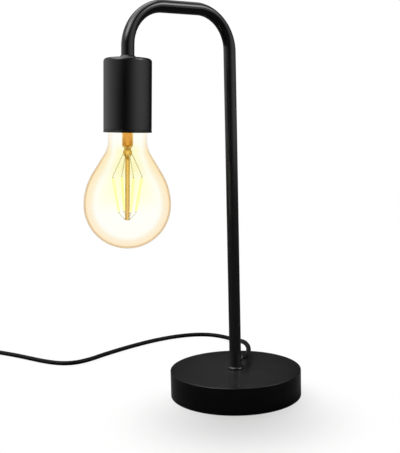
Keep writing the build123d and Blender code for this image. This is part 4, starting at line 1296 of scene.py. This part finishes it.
def world_math(operation, first, second):
    """One sum in the world's nodes, of a link and a link or a number."""
    node = world_tree.nodes.new("ShaderNodeMath")
    node.operation = operation
    world_tree.links.new(first, node.inputs[0])
    if isinstance(second, float):
        node.inputs[1].default_value = second
    else:
        world_tree.links.new(second, node.inputs[1])
    return node.outputs[0]


def facing_way(direction):
    """How far a ray points towards a direction in the photograph's frame, from -1 to 1."""
    facing = world_tree.nodes.new("ShaderNodeVectorMath")
    facing.operation = "DOT_PRODUCT"
    facing.inputs[1].default_value = photo_to_lamp @ Vector(direction)
    world_tree.links.new(way, facing.inputs[0])
    return facing.outputs["Value"]


def panel_glow(direction, sharpness, strength):
    """A broad panel that fades out round its direction."""
    near = world_math("MAXIMUM", facing_way(direction), 0.0)
    return world_math("MULTIPLY", world_math("POWER", near, sharpness), strength)


def soft_edge(direction, low, high, bottom, top):
    """A value that rises softly from bottom to top as a ray turns towards a direction."""
    edge = world_tree.nodes.new("ShaderNodeMapRange")
    edge.interpolation_type = "SMOOTHSTEP"
    edge.inputs["From Min"].default_value = low
    edge.inputs["From Max"].default_value = high
    edge.inputs["To Min"].default_value = bottom
    edge.inputs["To Max"].default_value = top
    world_tree.links.new(facing_way(direction), edge.inputs["Value"])
    return edge.outputs["Result"]


gloss = soft_edge(CEILING_WAY, CEILING_FROM, CEILING_FULL, ROOM_DARK, CEILING_GLOW)
for panel in SIDE_PANELS:
    gloss = world_math("ADD", gloss, panel_glow(*panel))
hung_high = soft_edge((0, 0, 1), HIGH_FROM, HIGH_FULL, 0.0, 1.0)
for panel in HIGH_PANELS:
    gloss = world_math("ADD", gloss, world_math("MULTIPLY", panel_glow(*panel), hung_high))
in_gloss = world_tree.nodes.new("ShaderNodeMix")
in_gloss.inputs["A"].default_value = ROOM_LIGHT
world_tree.links.new(seen_directly(world_tree, ["Is Glossy Ray"]), in_gloss.inputs["Factor"])
world_tree.links.new(gloss, in_gloss.inputs["B"])
in_view = world_tree.nodes.new("ShaderNodeMix")
in_view.inputs["B"].default_value = 1.0
world_tree.links.new(
    seen_directly(world_tree, ["Is Camera Ray", "Is Transmission Ray"]), in_view.inputs["Factor"]
)
world_tree.links.new(in_gloss.outputs["Result"], in_view.inputs["A"])
world_tree.links.new(in_view.outputs["Result"], backdrop.inputs["Strength"])
print("panels", len(SIDE_PANELS) + len(HIGH_PANELS), "world nodes", len(world_tree.nodes))

# %% [markdown]
# One broad light from above gives the lamp its plain level of light and part of the soft shadow under it. The rest
# of that shadow is painted into the floor.

# %% Light
SKY_ENERGY = 2.4
SKY_SPREAD = math.radians(60)
SKY_WAY = (-0.30, 0.10, 1.0)
sky_data = bpy.data.lights.new("broad_sky", "SUN")
sky_data.energy = SKY_ENERGY
sky_data.angle = SKY_SPREAD
sky = bpy.data.objects.new("broad_sky", sky_data)
sky_from = photo_to_lamp @ Vector(SKY_WAY)
sky.rotation_euler = (-sky_from).to_track_quat("-Z", "Y").to_euler()
bpy.context.scene.collection.objects.link(sky)
print("light", sky.name, sky_data.energy)

# %% Finish
bpy.context.scene.view_settings.view_transform = "Standard"
